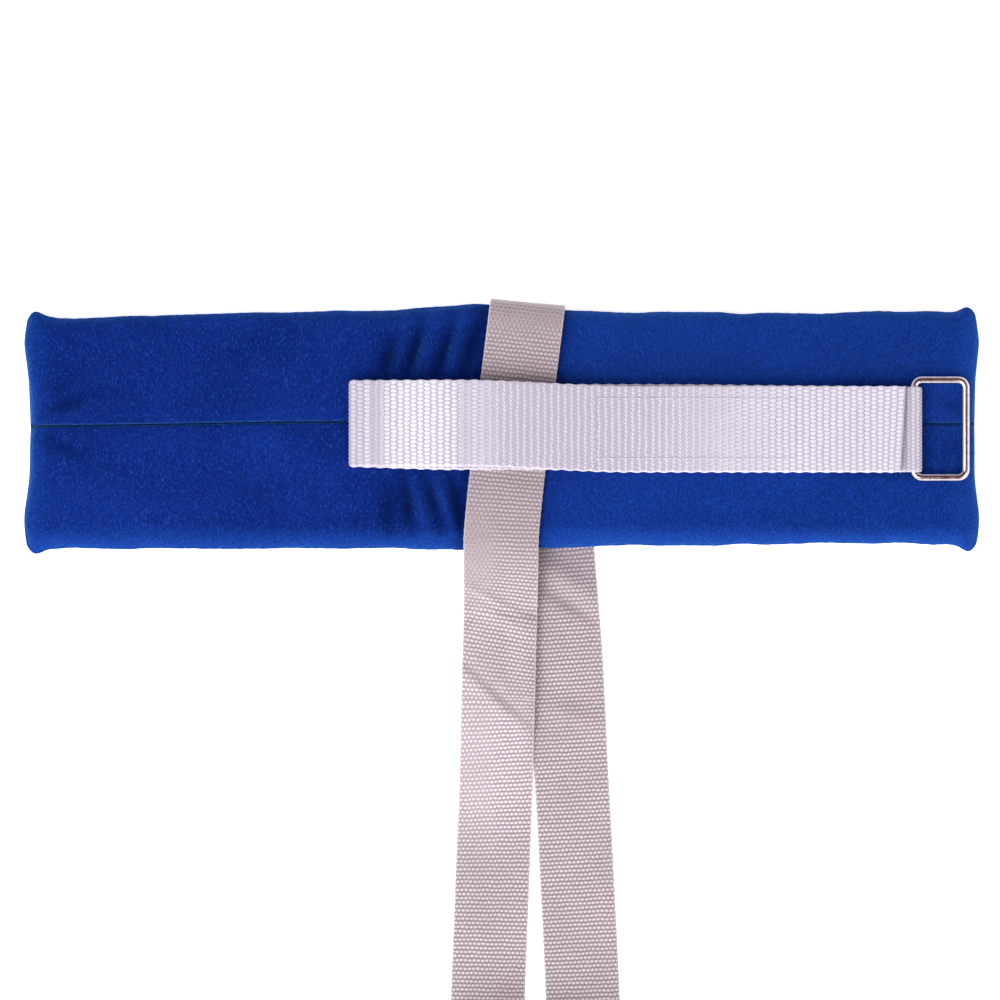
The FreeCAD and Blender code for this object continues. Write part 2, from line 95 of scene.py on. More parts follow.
def crease(x, y, start, end, spread):
    """1 on the line from start to end, fading sideways and towards both ends."""
    start, end = np.array(start, float), np.array(end, float)
    run = end - start
    length = np.hypot(*run)
    along = ((x - start[0]) * run[0] + (y - start[1]) * run[1]) / length
    aside = ((x - start[0]) * run[1] - (y - start[1]) * run[0]) / length
    ends = np.clip(1 - np.abs(along / length - 0.5) * 2, 0, None) ** 0.7
    return np.exp(-((aside / spread) ** 2)) * ends * ((along > 0) & (along < length))


def value_noise(x, y, scale, seed):
    """Smooth noise from -1 to 1, with features about scale millimetres wide."""
    table = np.random.default_rng(seed).uniform(-1, 1, (256, 256))
    u, v = x / scale, y / scale
    i, j = np.floor(u).astype(int), np.floor(v).astype(int)
    fu, fv = u - i, v - j
    fu, fv = fu * fu * (3 - 2 * fu), fv * fv * (3 - 2 * fv)
    low = table[i % 256, j % 256] * (1 - fu) + table[(i + 1) % 256, j % 256] * fu
    high = table[i % 256, (j + 1) % 256] * (1 - fu) + table[(i + 1) % 256, (j + 1) % 256] * fu
    return low * (1 - fv) + high * fv


def smooth_line(stations, spacing):
    """A Catmull-Rom line through the rows of stations, sampled evenly along its first three columns."""
    stations = np.array(stations, float)
    padded = np.vstack([2 * stations[0] - stations[1], stations, 2 * stations[-1] - stations[-2]])
    fine = []
    for k in range(len(stations) - 1):
        a, b, c, d = padded[k : k + 4]
        t = np.linspace(0, 1, 40, endpoint=False)[:, None]
        square = (2 * a - 5 * b + 4 * c - d) * t**2
        cube = (3 * b - a - 3 * c + d) * t**3
        fine.append(0.5 * (2 * b + (c - a) * t + square + cube))
    fine.append(stations[-1:])
    fine = np.vstack(fine)
    along = np.concatenate([[0], np.cumsum(np.linalg.norm(np.diff(fine[:, :3], axis=0), axis=1))])
    count = max(2, int(round(along[-1] / spacing)) + 1)
    wanted = np.linspace(0, along[-1], count)
    return np.stack([np.interp(wanted, along, fine[:, k]) for k in range(fine.shape[1])], axis=1)


# Meshes -------------------------------------------------------------------------------------------


def add_mesh(name, points, faces, material, attributes=None, smooth=True):
    """A mesh object from points in millimetres."""
    mesh = bpy.data.meshes.new(name)
    mesh.from_pydata((np.asarray(points) * MM).tolist(), [], faces)
    mesh.update()
    for key, values in (attributes or {}).items():
        layer = mesh.attributes.new(key, "FLOAT", "POINT")
        layer.data.foreach_set("value", np.asarray(values, np.float32).ravel())
    mesh.polygons.foreach_set("use_smooth", [smooth] * len(mesh.polygons))
    if smooth:
        mesh.set_sharp_from_angle(angle=math.radians(75))
    mesh.materials.append(material)
    piece = bpy.data.objects.new(name, mesh)
    bpy.context.scene.collection.objects.link(piece)
    return piece


def assign(piece, body, node):
    """Attach a piece to the body it rides, and hide the CAD node it stands for."""
    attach(piece, body)
    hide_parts(node)


def tube_faces(rows, columns, closed_rows=False):
    """Quads of a tube of closed rings, with a flat cap on each end unless the rows close too."""
    i = np.arange(rows if closed_rows else rows - 1)[:, None]
    j = np.arange(columns)[None, :]
    a = i * columns + j
    b = i * columns + (j + 1) % columns
    c = ((i + 1) % rows) * columns + (j + 1) % columns
    d = ((i + 1) % rows) * columns + j
    faces = np.stack(np.broadcast_arrays(a, b, c, d), axis=-1).reshape(-1, 4).tolist()
    if not closed_rows:
        faces.append(list(range(columns))[::-1])
        faces.append([(rows - 1) * columns + k for k in range(columns)])
    return faces


# Webbing ------------------------------------------------------------------------------------------


# Nothing that is woven goes lower than this.
FLOOR_GAP = 0.04
# The band beside each edge that scallops.
SELVEDGE = 1.5


@dataclass
class Weave:
    """A plain-woven webbing.  Its face is a honeycomb of warp floats, one pick long and offset by half from
    pick to pick.  relief is how far they stand out, and scallop how far the picks' turns push the edge out.
    cells and under_cells say how finely its upper and lower face are divided across."""

    width: float
    thickness: float
    pick: float
    float_width: float
    relief: float
    scallop: float
    cells: int
    under_cells: int

    def height(self, along, across):
        """Height of the upper face's floats over its mean level."""
        u = along / self.pick
        pick = np.round(u)
        v = across / self.float_width + 0.5 * (pick % 2)
        from_centre = (2 * (u - pick)) ** 2 + (2 * (v - np.round(v))) ** 2
        return self.relief * (0.6 - np.minimum(from_centre, 1.5) ** 1.2)

    def section(self):
        """The strap's cross-section: place across, height, which face, and how much it is an edge."""
        edge = self.thickness / 2
        flat = self.width / 2 - edge
        turn = np.radians([60, 30, 0, -30, -60])
        rows = [(t, edge, 0.0, 0.0) for t in np.linspace(-flat, flat, self.cells + 1)]
        rows += [(flat + edge * math.cos(a), edge * math.sin(a), 0.5, 1.0) for a in turn]
        rows += [(t, -edge, 1.0, 0.0) for t in np.linspace(flat, -flat, self.under_cells + 1)]
        rows += [(-flat - edge * math.cos(a), edge * math.sin(a), 0.5, 1.0) for a in turn[::-1]]
        return np.array(rows)


def nowhere(x, y):
    """0 at every place."""
    return np.zeros(np.broadcast(x, y).shape)


def webbing(
    name, line, heading, weave, material, start=0.0, lift=nowhere, shade=nowhere, flat=nowhere, closed=False
):
    """A strap of webbing along a line, and the distance to its far end.  heading is the angle of its width
    from +X, in plan, at each station, and start is the distance to its first station.  As functions of plan
    position, lift adds height, shade says where painted shade dulls it (or, below zero, where painted light
    makes it pale), and flat where its floats are pressed flat."""
    line = np.asarray(line, float)
    count = len(line)
    steps = np.linalg.norm(np.diff(line, axis=0), axis=1)
    along = start + np.concatenate([[0], np.cumsum(steps)])
    heading = np.broadcast_to(np.asarray(heading, float), count)
    side = np.stack([np.cos(heading), np.sin(heading), np.zeros(count)], axis=1)
    tangent = np.gradient(line, axis=0)
    if closed:
        tangent = (np.roll(line, -1, axis=0) - np.roll(line, 1, axis=0)) / 2
    normal = np.cross(tangent, side)
    normal /= np.linalg.norm(normal, axis=1)[:, None]
    t, up, face, rim = (column[None, :] for column in weave.section().T)
    s = along[:, None]
    half = (weave.width - weave.thickness) / 2
    inside = np.clip((half - np.abs(t)) / weave.float_width + 0.3, 0, 1) * (face == 0)
    plan_x = line[:, 0, None] + side[:, 0, None] * t
    plan_y = line[:, 1, None] + side[:, 1, None] * t
    flattened = flat(plan_x, plan_y)
    height = weave.height(s, t) * inside * (1 - 0.6 * flattened)
    outward = step(np.abs(t), half - SELVEDGE, half) * np.sign(t)
    scallop = weave.scallop * np.cos(np.pi * s / weave.pick) * outward
    points = (
        line[:, None, :]
        + side[:, None, :] * (t + scallop)[:, :, None]
        + normal[:, None, :] * (up + height)[:, :, None]
    )
    points[:, :, 2] += lift(points[:, :, 0], points[:, :, 1])
    points[:, :, 2] = np.maximum(points[:, :, 2], FLOOR_GAP)
    faces = tube_faces(count, t.shape[1], closed)
    shape = points.shape[:2]
    # rim and shade carry the material's painted highlight, shade and light.
    values = {
        "along": np.broadcast_to(s / weave.pick, shape),
        "across": np.broadcast_to(t / weave.float_width, shape),
        "under": np.broadcast_to(face, shape),
        "rim": np.broadcast_to(rim, shape),
        "shade": shade(plan_x, plan_y),
        "flat": flattened,
    }
    return add_mesh(name, points.reshape(-1, 3), faces, material, values), along[-1]


# Materials ----------------------------------------------------------------------------------------


class Nodes:
    """A small helper that adds and links shader nodes."""

    def __init__(self, name, color, roughness, **sockets):
        self.material = bpy.data.materials.new(name)
        self.material.use_nodes = True
        self.material.diffuse_color = (*color, 1)
        self.tree = self.material.node_tree
        self.shader = self.tree.nodes["Principled BSDF"]
        self.shader.inputs["Base Color"].default_value = (*color, 1)
        self.shader.inputs["Roughness"].default_value = roughness
        for socket, value in sockets.items():
            self.shader.inputs[socket.replace("_", " ")].default_value = value

    def add(self, kind, inputs=None, **settings):
        """A node; each of its inputs is linked to a socket or set to a value."""
        node = self.tree.nodes.new(kind)
        for key, value in settings.items():
            setattr(node, key, value)
        for key, value in (inputs or {}).items():
            if isinstance(value, bpy.types.NodeSocket):
                self.tree.links.new(value, node.inputs[key])
            else:
                node.inputs[key].default_value = value
        return node

    def place(self):
        """The position on the piece, in millimetres."""
        return self.stretch(self.add("ShaderNodeTexCoord").outputs["Object"], (1 / MM,) * 3)

    def noise(self, place, scale, detail=3.0, rough=0.6):
        """Noise with features about scale millimetres wide, from 0 to 1."""
        return self.add(
            "ShaderNodeTexNoise",
            {"Vector": place, "Scale": 1 / scale, "Detail": detail, "Roughness": rough},
        ).outputs["Fac"]

    def stretch(self, place, factors):
        """A position multiplied by a factor along each axis."""
        return self.add("ShaderNodeVectorMath", {0: place, 1: factors}, operation="MULTIPLY").outputs[0]

    def remap(self, value, low, high, to_low, to_high):
        """The range from low to high moved onto another, and capped there."""
        return self.add(
            "ShaderNodeMapRange",
            {"Value": value, "From Min": low, "From Max": high, "To Min": to_low, "To Max": to_high},
        ).outputs[0]

    def math(self, operation, a, b=0.0):
        """One of the maths node's operations on a and b."""
        return self.add("ShaderNodeMath", {0: a, 1: b}, operation=operation).outputs[0]

    def past_whole(self, value):
        """How far a value is past its nearest whole number, negative before it."""
        return self.math("SUBTRACT", value, self.math("ROUND", value))

    def mix(self, factor, a, b, blend="MIX"):
        """Colour a with b mixed in by factor."""
        node = self.add("ShaderNodeMix", data_type="RGBA", blend_type=blend)
        for index, value in ((0, factor), (6, a), (7, b)):
            if isinstance(value, bpy.types.NodeSocket):
                self.tree.links.new(value, node.inputs[index])
            else:
                node.inputs[index].default_value = value
        return node.outputs[2]

    def color(self, value):
        """Link the base colour."""
        self.tree.links.new(value, self.shader.inputs["Base Color"])

    def roughness(self, value):
        """Link the roughness."""
        self.tree.links.new(value, self.shader.inputs["Roughness"])

    def bump(self, height, distance, strength=1.0):
        """Link a bump whose height, from 0 to 1, stands for distance in millimetres."""
        inputs = {"Height": height, "Distance": distance * MM, "Strength": strength}
        node = self.add("ShaderNodeBump", inputs)
        self.tree.links.new(node.outputs["Normal"], self.shader.inputs["Normal"])


def pile_material():
    """Royal-blue brushed knit: short pile, fine lengthwise wales, soft cloudy brush marks.  Painted shade
    darkens it in its folds, and a painted sheen makes it paler at its edges, ends, fold crests and right
    part."""
    n = Nodes("pile_fabric", (0.005, 0.026, 0.21), 0.95, Sheen_Weight=1.0, Sheen_Roughness=0.34)
    n.shader.inputs["Sheen Tint"].default_value = (0.085, 0.40, 1.0, 1)
    n.shader.inputs["Specular IOR Level"].default_value = 0.03
    place = n.place()
    fold = n.add("ShaderNodeAttribute", attribute_name="fold").outputs["Fac"]
    painted_sheen = n.add("ShaderNodeAttribute", attribute_name="painted_sheen").outputs["Fac"]
    cloud = n.noise(place, 30.0, 4.0, 0.55)
    brush = n.noise(n.stretch(place, (1.0, 0.3, 1.0)), 3.0, 3.0, 0.6)
    tuft = n.noise(n.stretch(place, (1.0, 0.6, 1.0)), 0.42, 2.0, 0.6)
    wales = n.noise(n.stretch(place, (1.0, 0.3, 0.4)), 0.38, 1.0, 0.5)
    dark, light = (0.0026, 0.0155, 0.155, 1), (0.0048, 0.027, 0.24, 1)
    color = n.mix(n.remap(cloud, 0.34, 0.66, 0.0, 1.0), dark, light)
    # Painted sheen: a paler blue along the pad's long edges and ends, on its fold crests and right of the
    # tie strap.
    color = n.mix(n.math("MULTIPLY", painted_sheen, 0.8), color, (0.012, 0.074, 0.43, 1))
    color = n.mix(n.remap(brush, 0.38, 0.7, 0.0, 0.25), color, (0.007, 0.04, 0.31, 1))
    color = n.mix(n.remap(tuft, 0.60, 0.40, 0.0, 0.5), color, (0.0012, 0.007, 0.07, 1))
    color = n.mix(n.remap(wales, 0.54, 0.72, 0.0, 0.62), color, (0.012, 0.07, 0.46, 1))
    # Painted shade: darker in the folds' valleys, the seam's groove and beside the tie strap.
    color = n.mix(n.math("MULTIPLY", fold, 0.72), color, (0.001, 0.005, 0.05, 1))
    n.color(color)
    height = n.math("ADD", n.math("MULTIPLY", tuft, 0.7), n.math("MULTIPLY", wales, 0.5))
    n.bump(height, 0.5, 1.0)
    return n.material


def webbing_material(name, gap, mean, bright, float_size, fibre_axis, rows, wave, painted_shade_color):
    """Woven webbing: warp floats with a painted highlight on a duller ground, painted shade between them and
    a painted highlight along its edges.  Higher rows makes the painted shade between picks darker than that
    within a pick.  Where it is flattened, the floats turn dull and only the picks' edges keep a painted
    highlight; wave says how far those edges zigzag, and how much brighter one side of each column is."""
    n = Nodes(name, mean[:3], 0.42, Sheen_Weight=0.1, Sheen_Roughness=0.5)
    n.shader.inputs["Specular IOR Level"].default_value = 0.3
    place = n.place()
    along, across, under, rim, shade, flat = (
        n.add("ShaderNodeAttribute", attribute_name=key).outputs["Fac"]
        for key in ("along", "across", "under", "rim", "shade", "flat")
    )
    uneven = n.remap(n.noise(place, 3.2, 2.0, 0.5), 0.2, 0.8, -0.14, 0.14)
    u = n.math("ADD", along, uneven)
    pick = n.math("ROUND", u)
    offset = n.math("MULTIPLY", n.math("ADD", n.math("MODULO", pick, 2.0), under), 0.5)
    v = n.math("ADD", n.math("ADD", across, offset), n.math("MULTIPLY", uneven, 0.7))
    aside = n.math("ABSOLUTE", n.past_whole(v))
    du = n.math("MULTIPLY", n.math("POWER", n.math("ABSOLUTE", n.past_whole(u)), 2.0), rows)
    dv = n.math("MULTIPLY", n.math("POWER", aside, 2.0), 2.0 - rows)
    from_centre = n.math("MULTIPLY", n.math("ADD", du, dv), 4.0)
    # Painted shade between the floats, darker between picks the higher rows is, and a painted highlight on
    # each float.
    color = n.mix(n.remap(from_centre, 0.75, 1.25, 0.0, 0.9), mean, gap)
    color = n.mix(n.remap(from_centre, float_size, float_size * 0.35, 0.0, 1.0), color, bright)
    # Where flattened: a dull ground with painted highlights along the picks' edges, brighter on one side of
    # each column as wave grows.
    edge = n.math("ABSOLUTE", n.past_whole(n.math("ADD", u, n.math("MULTIPLY", aside, wave))))
    one_sided = n.remap(n.past_whole(v), -0.15, 0.15, 1.0 - wave, 1.0)
    stroke = n.math("MULTIPLY", n.remap(edge, 0.3, 0.42, 0.0, 1.0), one_sided)
    ground = tuple(0.7 * a + 0.3 * b for a, b in zip(gap, mean))
    flattened = n.mix(stroke, ground, tuple(1.12 * c for c in bright[:3]) + (1,))
    color = n.mix(flat, color, flattened)
    # Painted highlight along the rounded edges.
    color = n.mix(n.math("MULTIPLY", rim, 0.7), color, bright)
    tone = n.noise(place, 14.0, 3.0, 0.55)
    color = n.mix(n.remap(tone, 0.35, 0.7, 0.0, 0.15), color, gap)
    fibre = n.noise(n.stretch(place, fibre_axis), 0.4, 2.0, 0.6)
    color = n.mix(n.remap(fibre, 0.4, 0.75, 0.0, 0.2), color, bright)
    # Painted shade where shade is above zero, and painted light, by multiplying, where it is below.
    color = n.mix(n.math("MAXIMUM", shade, 0.0), color, painted_shade_color)
    pale = n.math("MAXIMUM", n.math("MULTIPLY", shade, -1.0), 0.0)
    color = n.mix(pale, color, (1.5, 1.5, 1.5, 1), "MULTIPLY")
    n.color(color)
    n.roughness(n.remap(tone, 0.3, 0.7, 0.34, 0.52))
    n.bump(n.noise(n.stretch(place, fibre_axis), 0.16, 2.0, 0.6), 0.06, 0.7)
    return n.material


def thread_material(name, color, shadow):
    """Sewing thread with a faint twist; shadow says how dark the twist's hollows are."""
    n = Nodes(name, color, 0.7, Sheen_Weight=0.03)
    twist = n.noise(n.place(), 0.25, 2.0, 0.6)
    dark = tuple(shadow * c for c in color) + (1,)
    n.color(n.mix(n.remap(twist, 0.35, 0.65, 0.0, 1.0), dark, (*color, 1)))
    n.bump(twist, 0.08, 0.8)
    return n.material


def tape_material(name, dark, light, feature):
    """The face of a hook or loop tape: a dense field of tiny hooks or tangled loops."""
    n = Nodes(name, light[:3], 0.7, Sheen_Weight=0.3)
    field = n.noise(n.place(), feature, 3.0, 0.75)
    n.color(n.mix(n.remap(field, 0.35, 0.62, 0.0, 1.0), dark, light))
    n.bump(field, 0.5, 1.0)
    return n.material


def nickel_material():
    """Bright nickel plate with a faint fine bump and a slightly uneven polish."""
    n = Nodes("nickel_wire", (0.66, 0.6, 0.62), 0.16, Metallic=1.0)
    place = n.place()
    haze = n.noise(place, 3.0, 4.0, 0.6)
    n.color(n.mix(n.remap(haze, 0.3, 0.7, 0.0, 1.0), (0.56, 0.5, 0.52, 1), (0.74, 0.69, 0.71, 1)))
    n.roughness(n.remap(haze, 0.3, 0.7, 0.1, 0.24))
    n.bump(n.noise(place, 0.4, 2.0, 0.5), 0.01, 0.5)
    return n.material


def elastic_material():
    """Ribbed elastic."""
    n = Nodes("elastic", (0.62, 0.58, 0.52), 0.75, Sheen_Weight=0.2)
    ribs = n.noise(n.stretch(n.place(), (0.2, 1.0, 1.0)), 0.6, 1.0, 0.4)
    n.color(n.mix(n.remap(ribs, 0.4, 0.62, 0.0, 1.0), (0.42, 0.38, 0.33, 1), (0.72, 0.68, 0.61, 1)))
    n.bump(ribs, 0.25, 0.8)
    return n.material


def foam_material():
    """Open-cell foam."""
    n = Nodes("foam", (0.75, 0.71, 0.58), 0.95)
    cells = n.noise(n.place(), 0.7, 2.0, 0.8)
    n.color(n.mix(n.remap(cells, 0.35, 0.6, 0.0, 1.0), (0.5, 0.46, 0.34, 1), (0.8, 0.76, 0.63, 1)))
    n.bump(cells, 0.4, 1.0)
    return n.material


def floor_material():
    """A pale backlit table, which keeps shadows faint."""
    n = Nodes("floor", (0.93, 0.93, 0.94), 0.9, Emission_Strength=0.7)
    n.shader.inputs["Emission Color"].default_value = (1.0, 1.0, 1.0, 1)
    n.shader.inputs["Specular IOR Level"].default_value = 0.1
    cloud = n.noise(n.place(), 60.0, 2.0, 0.5)
    n.color(n.mix(cloud, (0.925, 0.925, 0.935, 1), (0.935, 0.935, 0.945, 1)))
    return n.material


PILE = pile_material()
# Each webbing: gap is the painted shade between its floats, bright the painted highlight on them and its
# edges (and its fibre streaks), and the last colour its painted crease shade.
CLOSURE = webbing_material(
    "closure_webbing",
    gap=(0.36, 0.34, 0.43, 1),
    mean=(0.55, 0.525, 0.63, 1),
    bright=(0.78, 0.76, 0.86, 1),
    float_size=0.85,
    fibre_axis=(0.35, 1.0, 1.0),
    rows=1.0,
    wave=0.6,
    painted_shade_color=(0.40, 0.37, 0.46, 1),
)
TIE = webbing_material(
    "tie_webbing",
    gap=(0.20, 0.155, 0.175, 1),
    mean=(0.36, 0.305, 0.335, 1),
    bright=(0.74, 0.675, 0.705, 1),
    float_size=0.5,
    fibre_axis=(1.0, 0.35, 1.0),
    rows=1.3,
    wave=0.0,
    painted_shade_color=(0.25, 0.197, 0.21, 1),
)
THREADS = {
    "white_thread": thread_material("white_thread", (0.68, 0.66, 0.75), 0.85),
    "blue_thread": thread_material("blue_thread", (0.005, 0.016, 0.12), 0.55),
}
HOOK_TAPE = tape_material("hook_tape", (0.42, 0.4, 0.46, 1), (0.78, 0.76, 0.82, 1), 0.5)
LOOP_TAPE = tape_material("loop_tape", (0.5, 0.48, 0.54, 1), (0.86, 0.84, 0.89, 1), 0.9)
NICKEL = nickel_material()
ELASTIC = elastic_material()
FOAM = foam_material()

CLOSURE_WEAVE = Weave(
    width=28.8,
    thickness=1.2,
    pick=2.26,
    float_width=1.36,
    relief=0.15,
    scallop=0.16,
    cells=126,
    under_cells=24,
)
TIE_WEAVE = Weave(
    width=25.2,
    thickness=1.0,
    pick=1.41,
    float_width=1.45,
    relief=0.11,
    scallop=0.05,
    cells=104,
    under_cells=20,
)

# Pad ----------------------------------------------------------------------------------------------

pad_low, pad_high = cad("cover_sleeve")
PAD_HALF_LENGTH = (pad_high[0] - pad_low[0]) / 2
PAD_HALF_WIDTH = (pad_high[1] - pad_low[1]) / 2
PAD_TOP = pad_high[2]
PAD_MIDDLE = PAD_TOP / 2
EDGE_ROUND = 7.5
CORNER_ROUND = 5.0
CAGE_INSET = 0.3
CLOTH_FRAMES = 20
PRESSURE = 3.0
MOST_SWELL = 1.4
# Along X, the flat ground under the closure strap and under the ring's loop.
STRAP_END = 142.0
TAB_START, TAB_END = 110.0, 143.5
tie_low, tie_high = cad("tie_saddle")
TIE_X = (tie_low[0] + tie_high[0]) / 2
strap_low, strap_high = cad("closure_base_layer")


def seam_y(x):
    """Where the centre seam runs on the pad's face, a little past the middle."""
    return 1.0 + 1.4 * step(x, -PAD_HALF_LENGTH, -50) - 0.7 * step(x, -50, 145)


def end_draw(x, y):
    """How far the pad's ends are drawn in at the seam, the left one more than the right."""
    return np.where(x < 0, 1.5, 0.8) * (0.25 * bump(y, 1.2, 5) + 0.75 * bump(y, 0, 24))


def far_edge(x):
    """How far the pad's far edge bows out: least at the left end, most where the tie strap pulls it up."""
    left = -2.5 + 1.0 * step(x, -140, -108) + 1.35 * step(x, -118, -48) + 2.4 * step(x, -50, -6)
    right = 2.2 * step(x, -4, 23) + 0.4 * step(x, 24, 50) + 0.7 * step(x, 50, 100) - 0.8 * step(x, 100, 134)
    return left - right - 0.4 * bump(x, TIE_X, 8)


def near_edge(x):
    """How far the near edge bows out."""
    left = 0.3 + 0.7 * bump(x, -18, 16)
    return left - 0.9 * step(x, 0, 60) - 0.9 * step(x, 60, 110) + 0.9 * step(x, 128, 158)


def tie_middle(y):
    """The middle of the tie strap's front half, on the pad."""
    return TIE_X - 0.116 * (tie_low[1] - y)


def pad_cage():
    """Points and faces of the pad as a coarse closed tube of rings across it."""
    angles = np.radians([12, 26, 42, 58, 74, 90])
    inner = np.linspace(PAD_HALF_LENGTH - EDGE_ROUND, -(PAD_HALF_LENGTH - EDGE_ROUND), 84)[1:-1]
    ends = PAD_HALF_LENGTH - EDGE_ROUND * (1 - np.cos(angles))
    stations = [(x, math.sin(a)) for x, a in zip(ends, angles)]
    stations += [(x, 1.0) for x in inner]
    stations += [(-x, thick) for x, thick in stations[: len(angles)][::-1]]
    turn = np.radians([0, 25, 50, 70, 90])
    flat = PAD_HALF_WIDTH - EDGE_ROUND
    by_seam = [28.5, 24.5, 20.5, 16.5, 12.5, 9.0, 6.0, 3.8, 2.1, 1.0, 0.3]
    ring = [(flat + EDGE_ROUND * math.cos(a), math.sin(a)) for a in turn]
    ring += [(y, 1.0) for y in by_seam] + [(-y, 1.0) for y in by_seam[::-1]]
    ring += [(-y, up) for y, up in ring[: len(turn)][::-1]]
    ring += [(-flat - EDGE_ROUND * math.cos(a), -math.sin(a)) for a in turn[1:]]
    ring += [(y, -1.0) for y in np.linspace(-flat, flat, 15)[1:-1]]
    ring += [(flat + EDGE_ROUND * math.cos(a), -math.sin(a)) for a in turn[1:][::-1]]
    points = []
    for x, thick in stations:
        past = max(0.0, abs(x) - PAD_HALF_LENGTH + CORNER_ROUND)
        inset = CORNER_ROUND - math.sqrt(CORNER_ROUND**2 - past**2)
        for y, up in ring:
            drawn = y - math.copysign(inset * float(step(abs(y), 18, 34)), y)
            points.append((x, drawn, PAD_MIDDLE + up * thick * (PAD_MIDDLE - CAGE_INSET)))
    return np.array(points), tube_faces(len(stations), len(ring))


def inflate(piece, pinned, pressure, limit):
    """Swell a closed mesh with a cloth simulation, and cap how far any point moves."""
    before = np.empty(len(piece.data.vertices) * 3)
    piece.data.vertices.foreach_get("co", before)
    before = before.reshape(-1, 3)
    hold = piece.vertex_groups.new(name="hold")
    for index, weight in enumerate(pinned):
        if weight > 0.01:
            hold.add([index], float(weight), "REPLACE")
    cloth = piece.modifiers.new("cloth", "CLOTH")
    cloth.settings.use_pressure = True
    cloth.settings.uniform_pressure_force = pressure
    cloth.settings.vertex_group_mass = "hold"
    cloth.settings.tension_stiffness = 20
    cloth.settings.compression_stiffness = 20
    cloth.settings.bending_stiffness = 2.0
    cloth.settings.effector_weights.gravity = 0
    cloth.point_cache.frame_start = 1
    cloth.point_cache.frame_end = CLOTH_FRAMES
    scene = bpy.context.scene
    for number in range(1, CLOTH_FRAMES + 1):
        scene.frame_set(number)
    evaluated = piece.evaluated_get(bpy.context.evaluated_depsgraph_get())
    after = np.empty(len(before) * 3)
    evaluated.data.vertices.foreach_get("co", after)
    move = after.reshape(-1, 3) - before
    piece.modifiers.remove(cloth)
    piece.vertex_groups.remove(hold)
    scene.frame_set(1)
    far = np.linalg.norm(move, axis=1)[:, None]
    move *= np.minimum(1, limit * MM / np.maximum(far, 1e-9))
    piece.data.vertices.foreach_set("co", (before + move).ravel())
    piece.data.update()


def subdivide(piece, levels):
    """Apply a subdivision surface."""
    smooth = piece.modifiers.new("subdivision", "SUBSURF")
    smooth.levels = levels
    evaluated = piece.evaluated_get(bpy.context.evaluated_depsgraph_get())
    mesh = bpy.data.meshes.new_from_object(evaluated)
    piece.modifiers.remove(smooth)
    piece.data = mesh
    mesh.polygons.foreach_set("use_smooth", [True] * len(mesh.polygons))


PAD_FOLDS = [
    # start, end, spread, height.  Folds gathered by the tie strap, to its left, above the closure strap.
    ((-6, 42), (-14, 14), 2.6, -2.4),
    ((-12, 41), (-19, 12), 1.7, 1.2),
    ((-15, 40), (-24, 11), 2.2, -2.1),
    ((-21, 41), (-30, 13), 1.9, 1.4),
    ((-26, 38), (-33, 13), 2.3, -2.2),
    ((-31, 40), (-37, 16), 1.8, 1.0),
    ((-36, 34), (-40, 14), 3.0, -1.6),
    # The same below the closure strap.
    ((-18, -11), (-13, -34), 2.4, -2.4),
    ((-23, -12), (-15, -37), 1.7, 1.2),
    ((-27, -12), (-19, -36), 2.1, -2.2),
    ((-31, -13), (-23, -39), 1.7, 1.1),
    ((-33, -13), (-30, -36), 2.4, -1.9),
    ((-37, -15), (-38, -38), 3.0, -1.2),
    # Soft pulls from the left end of the centre seam.
    ((-158, 3), (-132, 15), 2.6, -0.9),
    ((-156, 6), (-138, 5), 2.0, 0.6),
    ((-157, -2), (-136, -10), 2.6, -0.8),
    ((-152, 12), (-140, 20), 2.4, -0.6),
    # And to the right of the ring.
    ((158, 4), (146, 12), 2.2, -0.6),
    ((158, -2), (147, -9), 2.2, -0.5),
]


def pad_outline(x, y, side, near_end):
    """Draw the ends in at the seam, make the long edges uneven and leave the corners as ears.  side is 1 at
    the long edges, and near_end 1 at the ends."""
    x = x - np.sign(x) * near_end * end_draw(x, y)
    y = y + step(side, 0.35, 1.0) * np.where(y > 0, far_edge(x), -near_edge(x))
    ear = bump(np.abs(x), 157.5, 3.6) * step(side, 0.75, 0.95)
    y = y + np.sign(y) * ear * (2.4 + 0.5 * step(x * -np.sign(y), 0, 1))
    x = x + np.sign(x) * near_end * bump(np.abs(y), 31.0, 9.0) * 1.1
    y = y + np.sign(y) * step(side, 0.7, 1.0) * 0.3 * value_noise(x, y * 0, 9.0, 3)
    x = x + np.sign(x) * near_end * 0.3 * value_noise(y, x * 0, 7.0, 5)
    return x, y


def press_straps(x, y, z, top, low):
    """Press the tie strap's hollows into the pad's faces, and flat ground under the closure strap and the
    ring's loop; the underside lies on the floor."""
    under_tie = step(-np.abs(x - tie_middle(y)), -17, -12.5)
    z = z - top * under_tie * 0.9
    for left, right, half, ceiling in (
        (strap_low[0] - 4, STRAP_END, 14.5, PAD_TOP - 0.25),
        (TAB_START, TAB_END, 14.2, PAD_TOP - 1.4),
    ):
        under = step(-np.abs(y), -half - 3, -half)
        under *= step(x, left, left + 3) * (1 - step(x, right, right + 2))
        pressed = np.minimum(z, ceiling - 0.9 * under_tie)
        z = np.where(top > 0.5, z * (1 - under) + pressed * under, z)
    back_middle = TIE_X + 0.13 * (tie_low[1] - y)
    under_back = step(-np.abs(x - back_middle), -15, -13.4)
    return np.where(low > 0.5, np.maximum(z, 0.05) + 1.35 * under_back, z)


